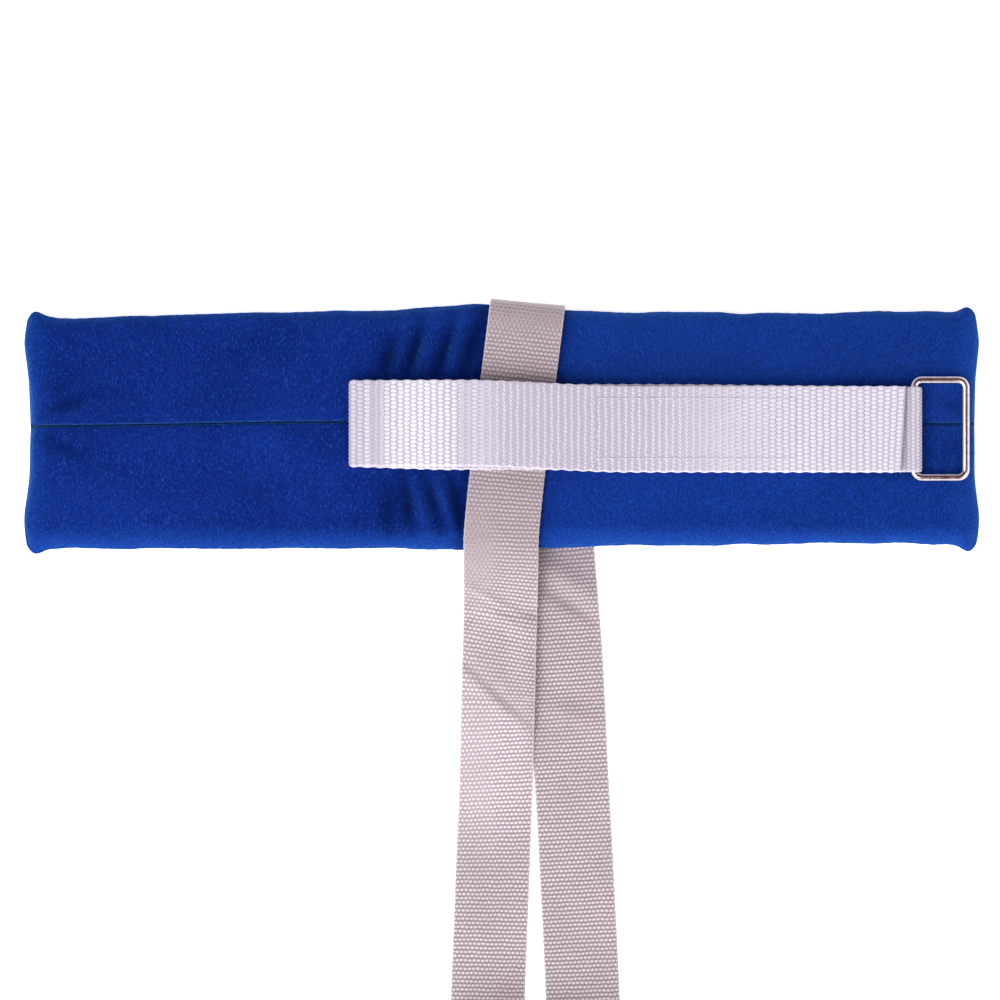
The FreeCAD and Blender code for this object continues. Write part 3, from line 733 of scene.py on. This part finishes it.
def pad_detail(points):
    """Shape the pad: its outline, seam, wrinkles, and the hollows under the straps.  Also returns, from 0 to
    1, how deep in a fold each point is, which sets its painted shade, and how much painted sheen it gets."""
    x, y, z = points.T.copy()
    top = step(z, PAD_MIDDLE, PAD_MIDDLE + 3)
    low = 1 - step(z, 0.5, 4.0)
    side = np.abs(y) / PAD_HALF_WIDTH
    near_end = step(np.abs(x) / PAD_HALF_LENGTH, 0.93, 1.0)
    y += seam_y(x) * np.clip(1 - np.abs(y) / 28, 0, 1) * top
    from_seam = y - seam_y(x)
    x, y = pad_outline(x, y, side, near_end)
    # Face: crown of each half, seam between them.
    z += top * (0.35 * bump(np.abs(y), 15, 12) - 0.9 * step(np.abs(y), 20, 38))
    groove = bump(from_seam, 0, 0.5)
    z -= top * (1.6 * groove + 0.5 * bump(from_seam, 0, 3.5))
    z += top * 0.35 * value_noise(x, y, 24.0, 7)
    z += top * 0.12 * value_noise(x, y, 6.0, 8)
    # Painted shade in the seam's groove.
    fold = 0.7 * groove * top
    # Painted sheen along the long edges, most along the near one, at the ends, and right of the tie strap.
    painted_sheen = top * step(np.abs(y), 31, 38.5) * np.where(y < 0, 0.8, 0.3)
    painted_sheen = np.maximum(painted_sheen, 0.45 * step(np.abs(x), 149, 158))
    painted_sheen += step(x, -6, 30) * (0.35 + 0.15 * (y > 0)) * top
    for start, finish, spread, depth in PAD_FOLDS:
        part = top * crease(x, y, start, finish, spread)
        z += depth * part
        # Painted shade in each fold's valley.
        fold += np.clip(-depth, 0, 1.4) * part * 0.8
        # Painted sheen on each fold's crest.
        painted_sheen += np.clip(depth, 0, 1.2) * part * 0.3
    # Painted shade along the tie strap's left edge.
    fold += top * bump(x, tie_middle(y) - 14.5, 2.2) * 0.5
    z = press_straps(x, y, z, top, low)
    # Pile: a fine unevenness that breaks up the outline.
    grain = 0.09 * value_noise(x, y + z, 1.3, 9)
    z += grain * top
    y += np.sign(y) * grain * step(side, 0.8, 1.0)
    return np.stack([x, y, z], axis=1), np.clip(fold, 0, 1), np.clip(painted_sheen, 0, 1)


def make_pad():
    """The padded sleeve: swollen by cloth simulation between what holds it, then given its fine shape."""
    points, faces = pad_cage()
    piece = add_mesh("pad_cover", points, faces, PILE)
    x, y, z = points.T
    seam = bump(y, 0, 2.5) * (z > PAD_MIDDLE)
    strap = (np.abs(y) < 16) & (x > strap_low[0]) & (x < STRAP_END + 2) & (z > PAD_MIDDLE)
    tie = (np.abs(x - TIE_X) < 15) & (np.abs(y) < 50)
    ends = np.abs(x) > PAD_HALF_LENGTH - 1
    underside = z < 1.2
    pinned = np.clip(seam + strap + tie + ends + underside, 0, 1)
    inflate(piece, pinned, PRESSURE, MOST_SWELL)
    subdivide(piece, 2)
    count = len(piece.data.vertices)
    co = np.empty(count * 3)
    piece.data.vertices.foreach_get("co", co)
    shaped, fold, painted_sheen = pad_detail(co.reshape(-1, 3) / MM)
    piece.data.vertices.foreach_set("co", (shaped * MM).ravel())
    # Attributes that carry the pile's painted shade and painted sheen.
    for key, values in (("fold", fold), ("painted_sheen", painted_sheen)):
        layer = piece.data.attributes.new(key, "FLOAT", "POINT")
        layer.data.foreach_set("value", values.astype(np.float32))
    piece.data.update()
    assign(piece, "cuff", "cover_sleeve")


make_pad()


def make_foam():
    """The foam slab inside the sleeve, with softened edges."""
    low, high = cad("foam_core")
    half_x, half_y = high[0] - 4.5, high[1] - 2.0
    middle, half_z = (low[2] + high[2]) / 2 - 0.6, (high[2] - low[2]) / 2 - 0.8
    rows = 60
    across, up = rounded_square(np.radians(np.linspace(0, 360, 24, endpoint=False)), 0.25)
    points = []
    for x in np.linspace(half_x, -half_x, rows):
        soft = 1 - 0.12 * step(abs(x), half_x - 4, half_x)
        points += [(x, a * half_y * soft, middle + b * half_z * soft) for a, b in zip(across, up)]
    piece = add_mesh("foam_slab", points, tube_faces(rows, len(across)), FOAM)
    assign(piece, "cuff", "foam_core")


make_foam()

# Tie strap ----------------------------------------------------------------------------------------

ROLL_PITCH = 1.25
ROLL_INNER = 5.0
ROLL_STEPS = 22
ROLL_CLEAR = 0.6
TIE_SPACING = 0.47
# Past this, towards -Y, the tails leave the pad.
FREE_Y = -36.0


def spiral(x, roll_low, roll_high):
    """Stations of a roll, from the floor under its middle to its core."""
    middle_y = (roll_low[1] + roll_high[1]) / 2
    middle_z = (roll_low[2] + roll_high[2]) / 2
    outer = middle_z - ROLL_CLEAR
    turns = (outer - ROLL_INNER) / ROLL_PITCH
    angle = np.linspace(0, 2 * math.pi * turns, int(turns * ROLL_STEPS))
    radius = outer - ROLL_PITCH * angle / (2 * math.pi)
    wander = 0.25 * np.sin(angle * 0.37)
    return np.stack(
        [x + wander, middle_y - radius * np.sin(angle), middle_z - radius * np.cos(angle)], axis=1
    )


def join_line(stations, roll, spacing, drape):
    """The free run, sampled evenly, then the roll's turns; and the width's angle at each station.  drape,
    if there is one, gives the run's height past the pad, from its place along Y."""
    run = smooth_line(stations, spacing)
    past = run[:, 1] < FREE_Y
    if drape is not None:
        run[past, 2] = drape(run[past, 1])
    line = np.vstack([run[:-1, :3], roll])
    heading = np.concatenate([run[:-1, 3], np.full(len(roll), run[-1, 3])])
    return line, np.radians(heading)


def back_edge(y):
    """The left edge of the back tail, which the front tail's right edge lies on."""
    return 5.3 + (-y - 34) * 0.065


def front_height(x, y):
    """Middle height of the front tail past the pad: off the pad's edge, over a soft ridge, then down a
    slanting crease onto the floor, its right edge on the back tail."""
    low = 0.65 + 1.4 * step(x, back_edge(y) - 7, back_edge(y) + 1) * (1 - step(-y, 112, 130))
    below = np.clip((x + 12.6) * 0.723 + (y + 78.8) * 0.69, 0, None)
    rise = 2.2 * (1 - np.exp(-below / 2.5)) + 0.03 * below
    ridge = 0.8 * crease(x, y, (-19, -51), (18, -74), 2.8)
    settle = step(-y, 36, 62)
    return 13.5 * (1 - settle) + (low + rise + ridge) * settle


def front_middle(y):
    """The middle of the front tail, in plan."""
    return np.interp(-y, [36, 62, 90, 120, 165, 216], [-0.1, -0.4, -1.2, -1.9, -3.6, -5.6])


def front_drape(y):
    """Height of the front tail's middle past the pad."""
    return front_height(front_middle(y), y)


def front_lift(x, y):
    """Extra height away from the front tail's middle."""
    return np.where(y < FREE_Y, front_height(x, y) - front_drape(y), 0.0)


def front_shade(x, y):
    """Painted shade in the front tail's crease, above it and above a ridge; painted light on the ridge,
    between it and the crease, and below the crease; the part on the pad is a little dull.
    """
    deep = 0.62 * crease(x, y, (-15.5, -76.5), (16, -107), 1.25)
    above = 0.2 * crease(x, y, (-14, -72), (18, -100), 4.0)
    pale = 0.75 * crease(x, y, (-15, -52), (12, -67), 1.0)
    pale += 0.3 * crease(x, y, (-16, -66), (0, -68), 6.0)
    above += 0.3 * crease(x, y, (-15, -49.5), (14, -65.5), 1.2)
    below = 0.6 * step(-(y + 0.95 * x), 91, 97) * (1 - 0.6 * step(x, 0, 10)) * (1 - step(-y, 120, 150))
    on_pad = 0.33 * (1 - step(-y, 34, 60)) - 0.2 * step(y, 14, 40)
    return np.clip(deep + above + on_pad - pale - below, -0.75, 0.8)


def front_flat(x, y):
    """Where the front half's floats run together into rows."""
    edge = 0.6 * bump(y, 41, 9)
    left = 0.5 * step(-x, -2, 9) * bump(y, -40, 14)
    return np.clip(edge + left + 0.2 * bump(y, -112, 30) * step(-x, -2, 8), 0, 0.8)


def back_shade(x, y):
    """Painted shade in the back tail's soft bends, as duller bands, and a painted shadow beside the pad."""
    bands = 0.5 * crease(x, y, (11, -52), (34, -67), 1.8) + 0.2 * crease(x, y, (4, -48), (38, -56), 7.0)
    return np.clip(bands + 0.16 * crease(x, y, (6, -97), (40, -100), 6.0) + 0.2 * bump(y, -42, 7), 0, 1)


def back_lift(x, y):
    """Soft slanting waves in the back tail."""
    wave = 1.1 * crease(x, y, (6, -40), (36, -60), 4.0) - 0.5 * crease(x, y, (8, -50), (36, -68), 2.4)
    wave += 0.8 * crease(x, y, (8, -92), (38, -101), 4.0)
    return np.where(y < FREE_Y - 2, wave, 0.0)


FRONT_STATIONS = [
    # x, y, height, angle of the width from +X
    (8.9, 42.2, 6.5, -5.0),
    (8.8, 41.9, 9.4, -6.5),
    (8.6, 40.6, 11.9, -6.7),
    (8.3, 38.0, 13.4, -6.7),
    (7.9, 34.5, 14.2, -6.7),
    (7.2, 29.0, 14.5, -6.7),
    (6.2, 21.0, 14.2, -6.7),
    (4.6, 8.0, 13.4, -6.5),
    (2.8, -8.0, 13.4, -6.2),
    (1.4, -20.0, 14.0, -5.0),
    (0.4, -30.0, 13.9, -3.0),
]
for near_y, turned in (
    (-36, -2.0),
    (-41, -2.5),
    (-47, -4.0),
    (-53, -6.0),
    (-59, -8.0),
    (-65, -9.0),
    (-71, -10.0),
    (-77, -9.0),
    (-83, -6.5),
    (-89, -3.0),
    (-95, 0.5),
    (-101, 2.5),
    (-108, 3.5),
    (-122, 3.0),
    (-140, 1.0),
    (-165, -1.0),
    (-190, -1.0),
    (-216, 0.0),
):
    middle_x = float(front_middle(near_y))
    FRONT_STATIONS.append((middle_x, near_y, float(front_height(middle_x, near_y)), turned))
BACK_STATIONS = [
    (8.9, 42.2, 6.5, -5.0),
    (8.9, 41.8, 3.8, -2.0),
    (9.0, 40.6, 1.7, 2.0),
    (9.3, 38.0, 0.8, 5.0),
    (10.4, 30.0, 0.6, 7.0),
    (14.2, 0.0, 0.6, 7.5),
    (18.2, -34.0, 0.6, 6.5),
    (18.8, -41.0, 0.7, 5.0),
    (20.2, -58.0, 1.0, 4.2),
    (21.5, -74.0, 0.9, 4.0),
    (22.5, -92.0, 0.7, 3.5),
    (23.5, -114.0, 0.6, 3.0),
    (24.6, -134.0, 0.6, 3.0),
    (26.2, -165.0, 0.6, 3.0),
    (27.4, -190.0, 0.6, 2.0),
    (28.1, -216.0, 0.6, 0.0),
]


def tie_half(half, stations, nodes, drape, looks):
    """The front or back half of the tie strap: over the pad's edge, across the pad, along the floor and
    into its roll."""
    roll = spiral(stations[-1][0], *cad(f"tie_{half}_roll"))
    line, heading = join_line(stations, roll, TIE_SPACING, drape)
    piece, length = webbing(f"tie_strap_{half}", line, heading, TIE_WEAVE, TIE, **looks)
    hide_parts(*nodes)
    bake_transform(piece)


tie_half(
    "front",
    FRONT_STATIONS,
    ["tie_front_run", "tie_front_tail", "tie_front_roll"],
    front_drape,
    {"lift": front_lift, "shade": front_shade, "flat": front_flat},
)
tie_half(
    "back",
    BACK_STATIONS,
    ["tie_saddle", "tie_back_run", "tie_back_tail", "tie_back_roll"],
    None,
    {"lift": back_lift, "shade": back_shade},
)


def elastic_loop(half):
    """The soft rounded elastic loop through a roll's core and over its top."""
    low, high = cad(f"tie_{half}_band")
    middle = (low + high) / 2
    reach = (high - low) / 2 - 0.6
    across, up = rounded_square(np.linspace(0, 2 * math.pi, 72, endpoint=False), 0.28)
    x, z = middle[0] + reach[0] * across, middle[2] + reach[2] * up
    line = np.stack([x, np.full_like(x, middle[1]), z], axis=1)
    weave = Weave(
        width=high[1] - low[1],
        thickness=1.0,
        pick=1.1,
        float_width=0.8,
        relief=0.06,
        scallop=0.05,
        cells=16,
        under_cells=8,
    )
    piece, _ = webbing(f"elastic_{half}", line, math.pi / 2, weave, ELASTIC, closed=True)
    assign(piece, f"tie_{half}", f"tie_{half}_band")


elastic_loop("front")
elastic_loop("back")

# Closure strap ------------------------------------------------------------------------------------

fold_low, fold_high = cad("closure_fold")
flap_low, flap_high = cad("closure_flap")
tip_high = cad("closure_tip")[1]
tab_low, tab_high = cad("ring_tab")
tip_hinge = joint_point("tip_peel")
ring_hinge = joint_point("ring_swing")
BASE_Z = (strap_low[2] + strap_high[2]) / 2
FLAP_Z = (flap_low[2] + flap_high[2]) / 2
FOLD_X = fold_high[0]
# The strap is made as two pieces, parted here.
SPLIT_X = tip_hinge[0] - 14
STRAP_SPACING = 0.45
# The free end's slant, as a slope, and how far in from the end it is worked.
SLANT = 0.055
SLANT_REACH = 12.0


def base_height(x):
    """The lower layer's middle height: it rises a little over the tie strap."""
    return BASE_Z + 0.75 * step(x, -14, -9) * (1 - step(x, 17, 23))


def flap_height(x):
    """The free layer's middle height: rising from the fold to the tie strap, a small step over it, then
    down to the ring's loop, its end just clear of the loop."""
    rise = 2.6 * step(x, -41, -15) + 0.45 * step(x, -14, -10.5) + 0.45 * step(x, 118, 134)
    fall = 2.1 * step(x, -2, 46) + 0.85 * step(x, 46, 110)
    waves = 0.2 * bump(x, 72, 14) - 0.5 * bump(x, -42, 1.8)
    return FLAP_Z + 0.1 + rise - fall + waves


def closure_flat(x, y):
    """Where the closure strap's floats are pressed flat: two narrow bends, and from the tie strap on."""
    bends = 0.9 * bump(x, -41.5, 2.4) + 0.6 * bump(x, -12.3, 1.8)
    return np.clip(bends + 0.9 * step(x, -15, 2) - 0.75 * step(x, 45, 105), 0, 1)


def closure_shade(x, y):
    """Painted shade in the bends, over the fold and just past the tie strap; painted light on the rise
    before it, and a little on the right part.
    """
    dull = 0.3 * bump(x, -41.5, 2.0) + 0.25 * bump(x, -12.3, 1.6) + 0.14 * bump(x, 14, 26)
    return dull + 0.42 * (1 - step(x, -47, -44)) - 0.2 * bump(x, -27, 9) - 0.1 * step(x, 30, 80)


def closure_line():
    """The strap's middle line, from its sewn end near the ring to the fold, and back to its free end."""
    reach = (flap_height(FOLD_X) - BASE_Z) / 2
    bend_x = fold_low[0] + reach + CLOSURE_WEAVE.thickness / 2
    lower_x = np.arange(strap_high[0], bend_x, -2 * STRAP_SPACING)
    lower_y = np.interp(lower_x, [bend_x, -20, 60, 130], [1.5, 0.6, 0.45, -0.3])
    lower = np.stack([lower_x, lower_y, base_height(lower_x)], axis=1)
    angle = np.radians(np.linspace(0, 180, 26))[1:-1]
    fold_y = np.linspace(1.5, 1.7, len(angle))
    fold_z = BASE_Z + reach * (1 - np.cos(angle))
    fold = np.stack([bend_x - reach * np.sin(angle), fold_y, fold_z], axis=1)
    upper_x = np.arange(bend_x, tip_high[0] + 0.01, STRAP_SPACING)
    upper_y = 1.75 - 2.05 * step(upper_x, -14, 44)
    upper = np.stack([upper_x, upper_y, flap_height(upper_x)], axis=1)
    return np.vstack([lower, fold, upper])


def closure_strap():
    """The closure strap's two pieces, of one continuous line and weave."""
    line = closure_line()
    upper_start = np.argmin(line[:, 0])
    split = upper_start + np.argmax(line[upper_start:, 0] > SPLIT_X)
    steps = np.linalg.norm(np.diff(line, axis=0), axis=1)
    along = np.concatenate([[0], np.cumsum(steps)])
    looks = {"shade": closure_shade, "flat": closure_flat}
    turned = math.pi / 2
    first, _ = webbing("closure_strap", line[: split + 1], turned, CLOSURE_WEAVE, CLOSURE, **looks)
    looks["start"] = along[split]
    second, length = webbing("closure_free_end", line[split:], turned, CLOSURE_WEAVE, CLOSURE, **looks)
    slant_free_end(second)
    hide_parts("closure_base_layer", "closure_fold", "closure_flap")
    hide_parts("closure_tip")
    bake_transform(first)
    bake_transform(second)


def slant_free_end(piece):
    """Cut the free end on a slight slant, its far corner further out."""
    count = len(piece.data.vertices)
    co = np.empty(count * 3)
    piece.data.vertices.foreach_get("co", co)
    co = co.reshape(-1, 3) / MM
    share = step(co[:, 0], tip_high[0] - SLANT_REACH, tip_high[0])
    co[:, 0] += share * (SLANT * co[:, 1] - 0.7)
    piece.data.vertices.foreach_set("co", (co * MM).ravel())
    piece.data.update()


closure_strap()


def loop_shade(x, y):
    """The ring's loop is a little duller, with a painted shadow beside the free end."""
    return 0.15 + 0.25 * bump(x, tip_high[0] + 0.6, 0.9)


def ring_loop():
    """The short loop of webbing round the ring's near bar."""
    inset = 0.6
    radius = ring_hinge[2] - (tab_low[2] + inset)
    lower = [(x, tab_low[2] + inset) for x in np.linspace(tab_low[0], ring_hinge[0], 12)]
    around = [
        (ring_hinge[0] + radius * math.sin(a), ring_hinge[2] - radius * math.cos(a))
        for a in np.radians(np.linspace(15, 165, 11))
    ]
    lap = strap_high[2] + inset
    top = ring_hinge[2] + radius
    upper = [(ring_hinge[0], top), (ring_hinge[0] - 3, top - 0.35), (tab_low[0] + 21, lap + 0.1)]
    upper += [(x, lap) for x in np.linspace(tab_low[0] + 19, tab_low[0], 8)]
    stations = [(x, -0.3, z) for x, z in lower + around + upper]
    line = smooth_line(stations, 0.42)
    weave = Weave(
        width=28.4,
        thickness=1.0,
        pick=1.5,
        float_width=1.2,
        relief=0.15,
        scallop=0.1,
        cells=110,
        under_cells=20,
    )
    piece, length = webbing("ring_loop", line, -math.pi / 2, weave, CLOSURE, shade=loop_shade)
    assign(piece, "cuff", "ring_tab")


ring_loop()

# Hook and loop patches ----------------------------------------------------------------------------

TAPE_CELL = 0.7


def tape(name, node, body, material, bulge, face_up, level):
    """A strip of hook or loop tape: rounded edges, its working face broken up by its hooks or loops.  level
    gives the height of the webbing face that it is sewn to."""
    low, high = cad(node)
    count_x = int((high[0] - low[0]) / TAPE_CELL)
    xs = np.linspace(low[0], high[0], count_x)
    half = (high[1] - low[1]) / 2
    ys = np.linspace(-half, half, 42)
    thickness = high[2] - low[2]
    grid_x, grid_y = np.meshgrid(xs, ys, indexing="ij")
    edge = np.minimum(
        np.minimum(grid_x - low[0], high[0] - grid_x),
        np.minimum(grid_y + half, half - grid_y),
    )
    working = thickness * (0.55 + 0.45 * np.clip(edge / 1.2, 0, 1) ** 0.5)
    working += bulge * value_noise(grid_x, grid_y, 0.9, 21) * np.clip(edge / 1.5, 0, 1)
    working = np.minimum(working, thickness)
    sewn = level(grid_x)
    near, far = (sewn, sewn + working) if face_up else (sewn - working, sewn)
    upper = np.stack([grid_x, grid_y, far], axis=-1)
    lower = np.stack([grid_x, grid_y, near], axis=-1)
    ring = np.concatenate([upper, lower[:, ::-1]], axis=1)
    piece = add_mesh(name, ring.reshape(-1, 3), tube_faces(len(xs), ring.shape[1]), material)
    assign(piece, body, node)


HALF_STRAP = CLOSURE_WEAVE.thickness / 2
tape(
    "hook_tape_patch",
    "hook_patch",
    "closure_flap",
    HOOK_TAPE,
    bulge=0.1,
    face_up=False,
    level=lambda x: flap_height(x) - HALF_STRAP,
)
tape(
    "loop_tape_patch",
    "loop_patch",
    "cuff",
    LOOP_TAPE,
    bulge=0.12,
    face_up=True,
    level=lambda x: base_height(x) + HALF_STRAP,
)

# Stitches -----------------------------------------------------------------------------------------

STITCH_RINGS = 7
STITCH_SIDES = 6


def stitch(middle, run, pitch, gauge, height):
    """Points of one stitch: rings along an arc that dips into the fabric at both ends."""
    points = []
    for f in np.linspace(-1, 1, STITCH_RINGS):
        x, y = middle + run * f * pitch * 0.42
        z = height(x) + gauge * (0.75 * (1 - f * f) - 0.35)
        radius = gauge / 2 * math.sqrt(max(0.06, 1 - 0.8 * f * f))
        for angle in np.linspace(0, 2 * math.pi, STITCH_SIDES, endpoint=False):
            aside, up = radius * math.cos(angle), radius * math.sin(angle)
            points.append((x - run[1] * aside, y + run[0] * aside, z + up))
    return points


def sew(name, node, body, thread, seams, pitch, gauge, height):
    """Straight seams of short rounded stitches.  pitch is the stitches' length, gauge the thread's
    thickness, and height gives the fabric's level along X."""
    quads = tube_faces(STITCH_RINGS, STITCH_SIDES)
    points, faces = [], []
    for start, end in seams:
        run = np.subtract(end, start)
        length = np.hypot(*run)
        count = max(1, int(round(length / pitch)))
        for index in range(count):
            middle = start + run * (index + 0.5) / count
            faces += [[len(points) + v for v in quad] for quad in quads]
            points += stitch(middle, run / length, pitch, gauge, height)
    piece = add_mesh(name, points, faces, THREADS[thread])
    assign(piece, body, node)


def box_seams(low, high, inset):
    """The four sides of a rectangle, inset from a node's box, in plan."""
    x0, x1 = low[0] + inset, high[0] - inset
    y0, y1 = low[1] + inset, high[1] - inset
    corners = [(x0, y0), (x1, y0), (x1, y1), (x0, y1)]
    return [(corners[k], corners[(k + 1) % 4]) for k in range(4)]


hook_low, hook_high = cad("hook_patch")
sew(
    "hook_seam",
    "hook_patch_stitches",
    "closure_flap",
    "white_thread",
    box_seams(hook_low, hook_high, 1.0),
    pitch=2.26,
    gauge=0.4,
    height=lambda x: float(flap_height(x)) + HALF_STRAP + 0.05,
)
loop_low, loop_high = cad("loop_patch")
sew(
    "loop_seam",
    "loop_patch_stitches",
    "cuff",
    "white_thread",
    box_seams(loop_low, loop_high, 0.8)[::2],
    pitch=2.6,
    gauge=0.34,
    height=lambda x: loop_high[2] - 0.15,
)


def anchor_rows():
    """The rows that sew the lower layer to the pad, in pairs: by the fold, and on each side of the tie
    strap."""
    low, high = cad("strap_anchor_stitches")
    rows = [low[0] + 0.3, low[0] + 2.3, -13.2, -15.0, high[0] - 0.3, high[0] + 1.6]
    return [((x, low[1]), (x, high[1])) for x in rows]


sew(
    "anchor_rows",
    "strap_anchor_stitches",
    "cuff",
    "white_thread",
    anchor_rows(),
    pitch=2.6,
    gauge=0.4,
    height=lambda x: BASE_Z + HALF_STRAP + 0.1,
)
box_low, box_high = cad("ring_tab_stitches")
DIAGONALS = [
    ((box_low[0], box_low[1]), (box_high[0], box_high[1])),
    ((box_low[0], box_high[1]), (box_high[0], box_low[1])),
]
sew(
    "tab_box_seam",
    "ring_tab_stitches",
    "cuff",
    "white_thread",
    box_seams(box_low, box_high, 0.0) + DIAGONALS,
    pitch=2.6,
    gauge=0.4,
    height=lambda x: box_low[2] + 0.1,
)


def centre_spans():
    """The centre seam where it shows: left of the closure strap, and right of the ring's loop."""
    low, high = cad("centre_seam_thread")
    spans = [(low[0], strap_low[0] - 4), (tab_high[0] + 2, high[0])]
    return [((a, float(seam_y(a))), (b, float(seam_y(b)))) for a, b in spans]


def end_rows():
    """A row of stitches down each end seam."""
    low, high = cad("end_seam_threads")
    inset = float(end_draw(low[0], 0.0)) + 0.9
    return [((x, low[1] + 2), (x, high[1] - 2)) for x in (low[0] + inset, high[0] - inset)]


sew(
    "centre_seam",
    "centre_seam_thread",
    "cuff",
    "blue_thread",
    centre_spans(),
    pitch=3.0,
    gauge=0.35,
    height=lambda x: PAD_TOP - 2.75,
)
sew(
    "end_seams",
    "end_seam_threads",
    "cuff",
    "blue_thread",
    end_rows(),
    pitch=3.0,
    gauge=0.35,
    height=lambda x: PAD_MIDDLE,
)

# The ring keeps its own mesh ----------------------------------------------------------------------

for slot in frame["nodes"]["ring"].material_slots:
    slot.material = NICKEL

# Stage --------------------------------------------------------------------------------------------

FLOOR_HALF = 3000.0
FLOOR_Z = -0.02
floor = add_mesh(
    "floor",
    [(x * FLOOR_HALF, y * FLOOR_HALF, FLOOR_Z) for x, y in ((-1, -1), (1, -1), (1, 1), (-1, 1))],
    [[0, 1, 2, 3]],
    floor_material(),
    smooth=False,
)


def area_light(name, place, target, size, power, color):
    """A rectangular light, places and sizes in metres."""
    light = bpy.data.lights.new(name, "AREA")
    light.shape = "RECTANGLE"
    light.size, light.size_y = size
    light.energy = power
    light.color = color
    lamp = bpy.data.objects.new(name, light)
    lamp.location = place
    lamp.rotation_euler = (Vector(target) - Vector(place)).to_track_quat("-Z", "Y").to_euler()
    bpy.context.scene.collection.objects.link(lamp)


HORIZON_GLOW = (0.95, 0.95, 0.97, 1)
OVERHEAD_GLOW = (0.14, 0.06, 0.07, 1)
BACK_STRENGTH = 0.6
FRONT_STRENGTH = 1.6


def studio_world():
    """Bright all round, most in front, and dim overhead, so that bright metal has something to reflect."""
    world = bpy.data.worlds.new("studio")
    world.use_nodes = True
    nodes, links = world.node_tree.nodes, world.node_tree.links
    direction = nodes.new("ShaderNodeTexCoord").outputs["Generated"]
    split = nodes.new("ShaderNodeSeparateXYZ")
    links.new(direction, split.inputs[0])
    ramp = nodes.new("ShaderNodeValToRGB")
    ramp.color_ramp.elements[0].position = 0.45
    ramp.color_ramp.elements[0].color = HORIZON_GLOW
    ramp.color_ramp.elements[1].position = 0.76
    ramp.color_ramp.elements[1].color = OVERHEAD_GLOW
    links.new(split.outputs["Z"], ramp.inputs[0])
    links.new(ramp.outputs[0], nodes["Background"].inputs[0])
    front = nodes.new("ShaderNodeMapRange")
    front.inputs["From Min"].default_value = 1.0
    front.inputs["From Max"].default_value = -1.0
    front.inputs["To Min"].default_value = BACK_STRENGTH
    front.inputs["To Max"].default_value = FRONT_STRENGTH
    links.new(split.outputs["Y"], front.inputs["Value"])
    links.new(front.outputs[0], nodes["Background"].inputs[1])
    bpy.context.scene.world = world


studio_world()
area_light(
    "key",
    place=(-0.40, -0.42, 1.0),
    target=(0.0, -0.05, 0.0),
    size=(1.0, 1.0),
    power=12.5,
    color=(1.0, 0.99, 0.98),
)
area_light(
    "fill",
    place=(0.8, -0.5, 0.9),
    target=(0.0, 0.0, 0.0),
    size=(0.6, 0.6),
    power=2.5,
    color=(0.97, 0.98, 1.0),
)

# The camera looks straight down, and sees VIEW_WIDTH at the height of the pad's middle.
CAMERA_PLACE = Vector((-0.5, -23.9, 1300.0))
VIEW_WIDTH = 336.8
SENSOR = 36.0
camera_data = bpy.data.cameras.new("camera")
camera_data.sensor_width = SENSOR
camera_data.lens = SENSOR * (CAMERA_PLACE.z - PAD_MIDDLE) / VIEW_WIDTH
camera = bpy.data.objects.new("camera", camera_data)
camera.location = CAMERA_PLACE * MM
bpy.context.scene.collection.objects.link(camera)
bpy.context.scene.camera = camera
bpy.context.scene.view_settings.view_transform = "Standard"
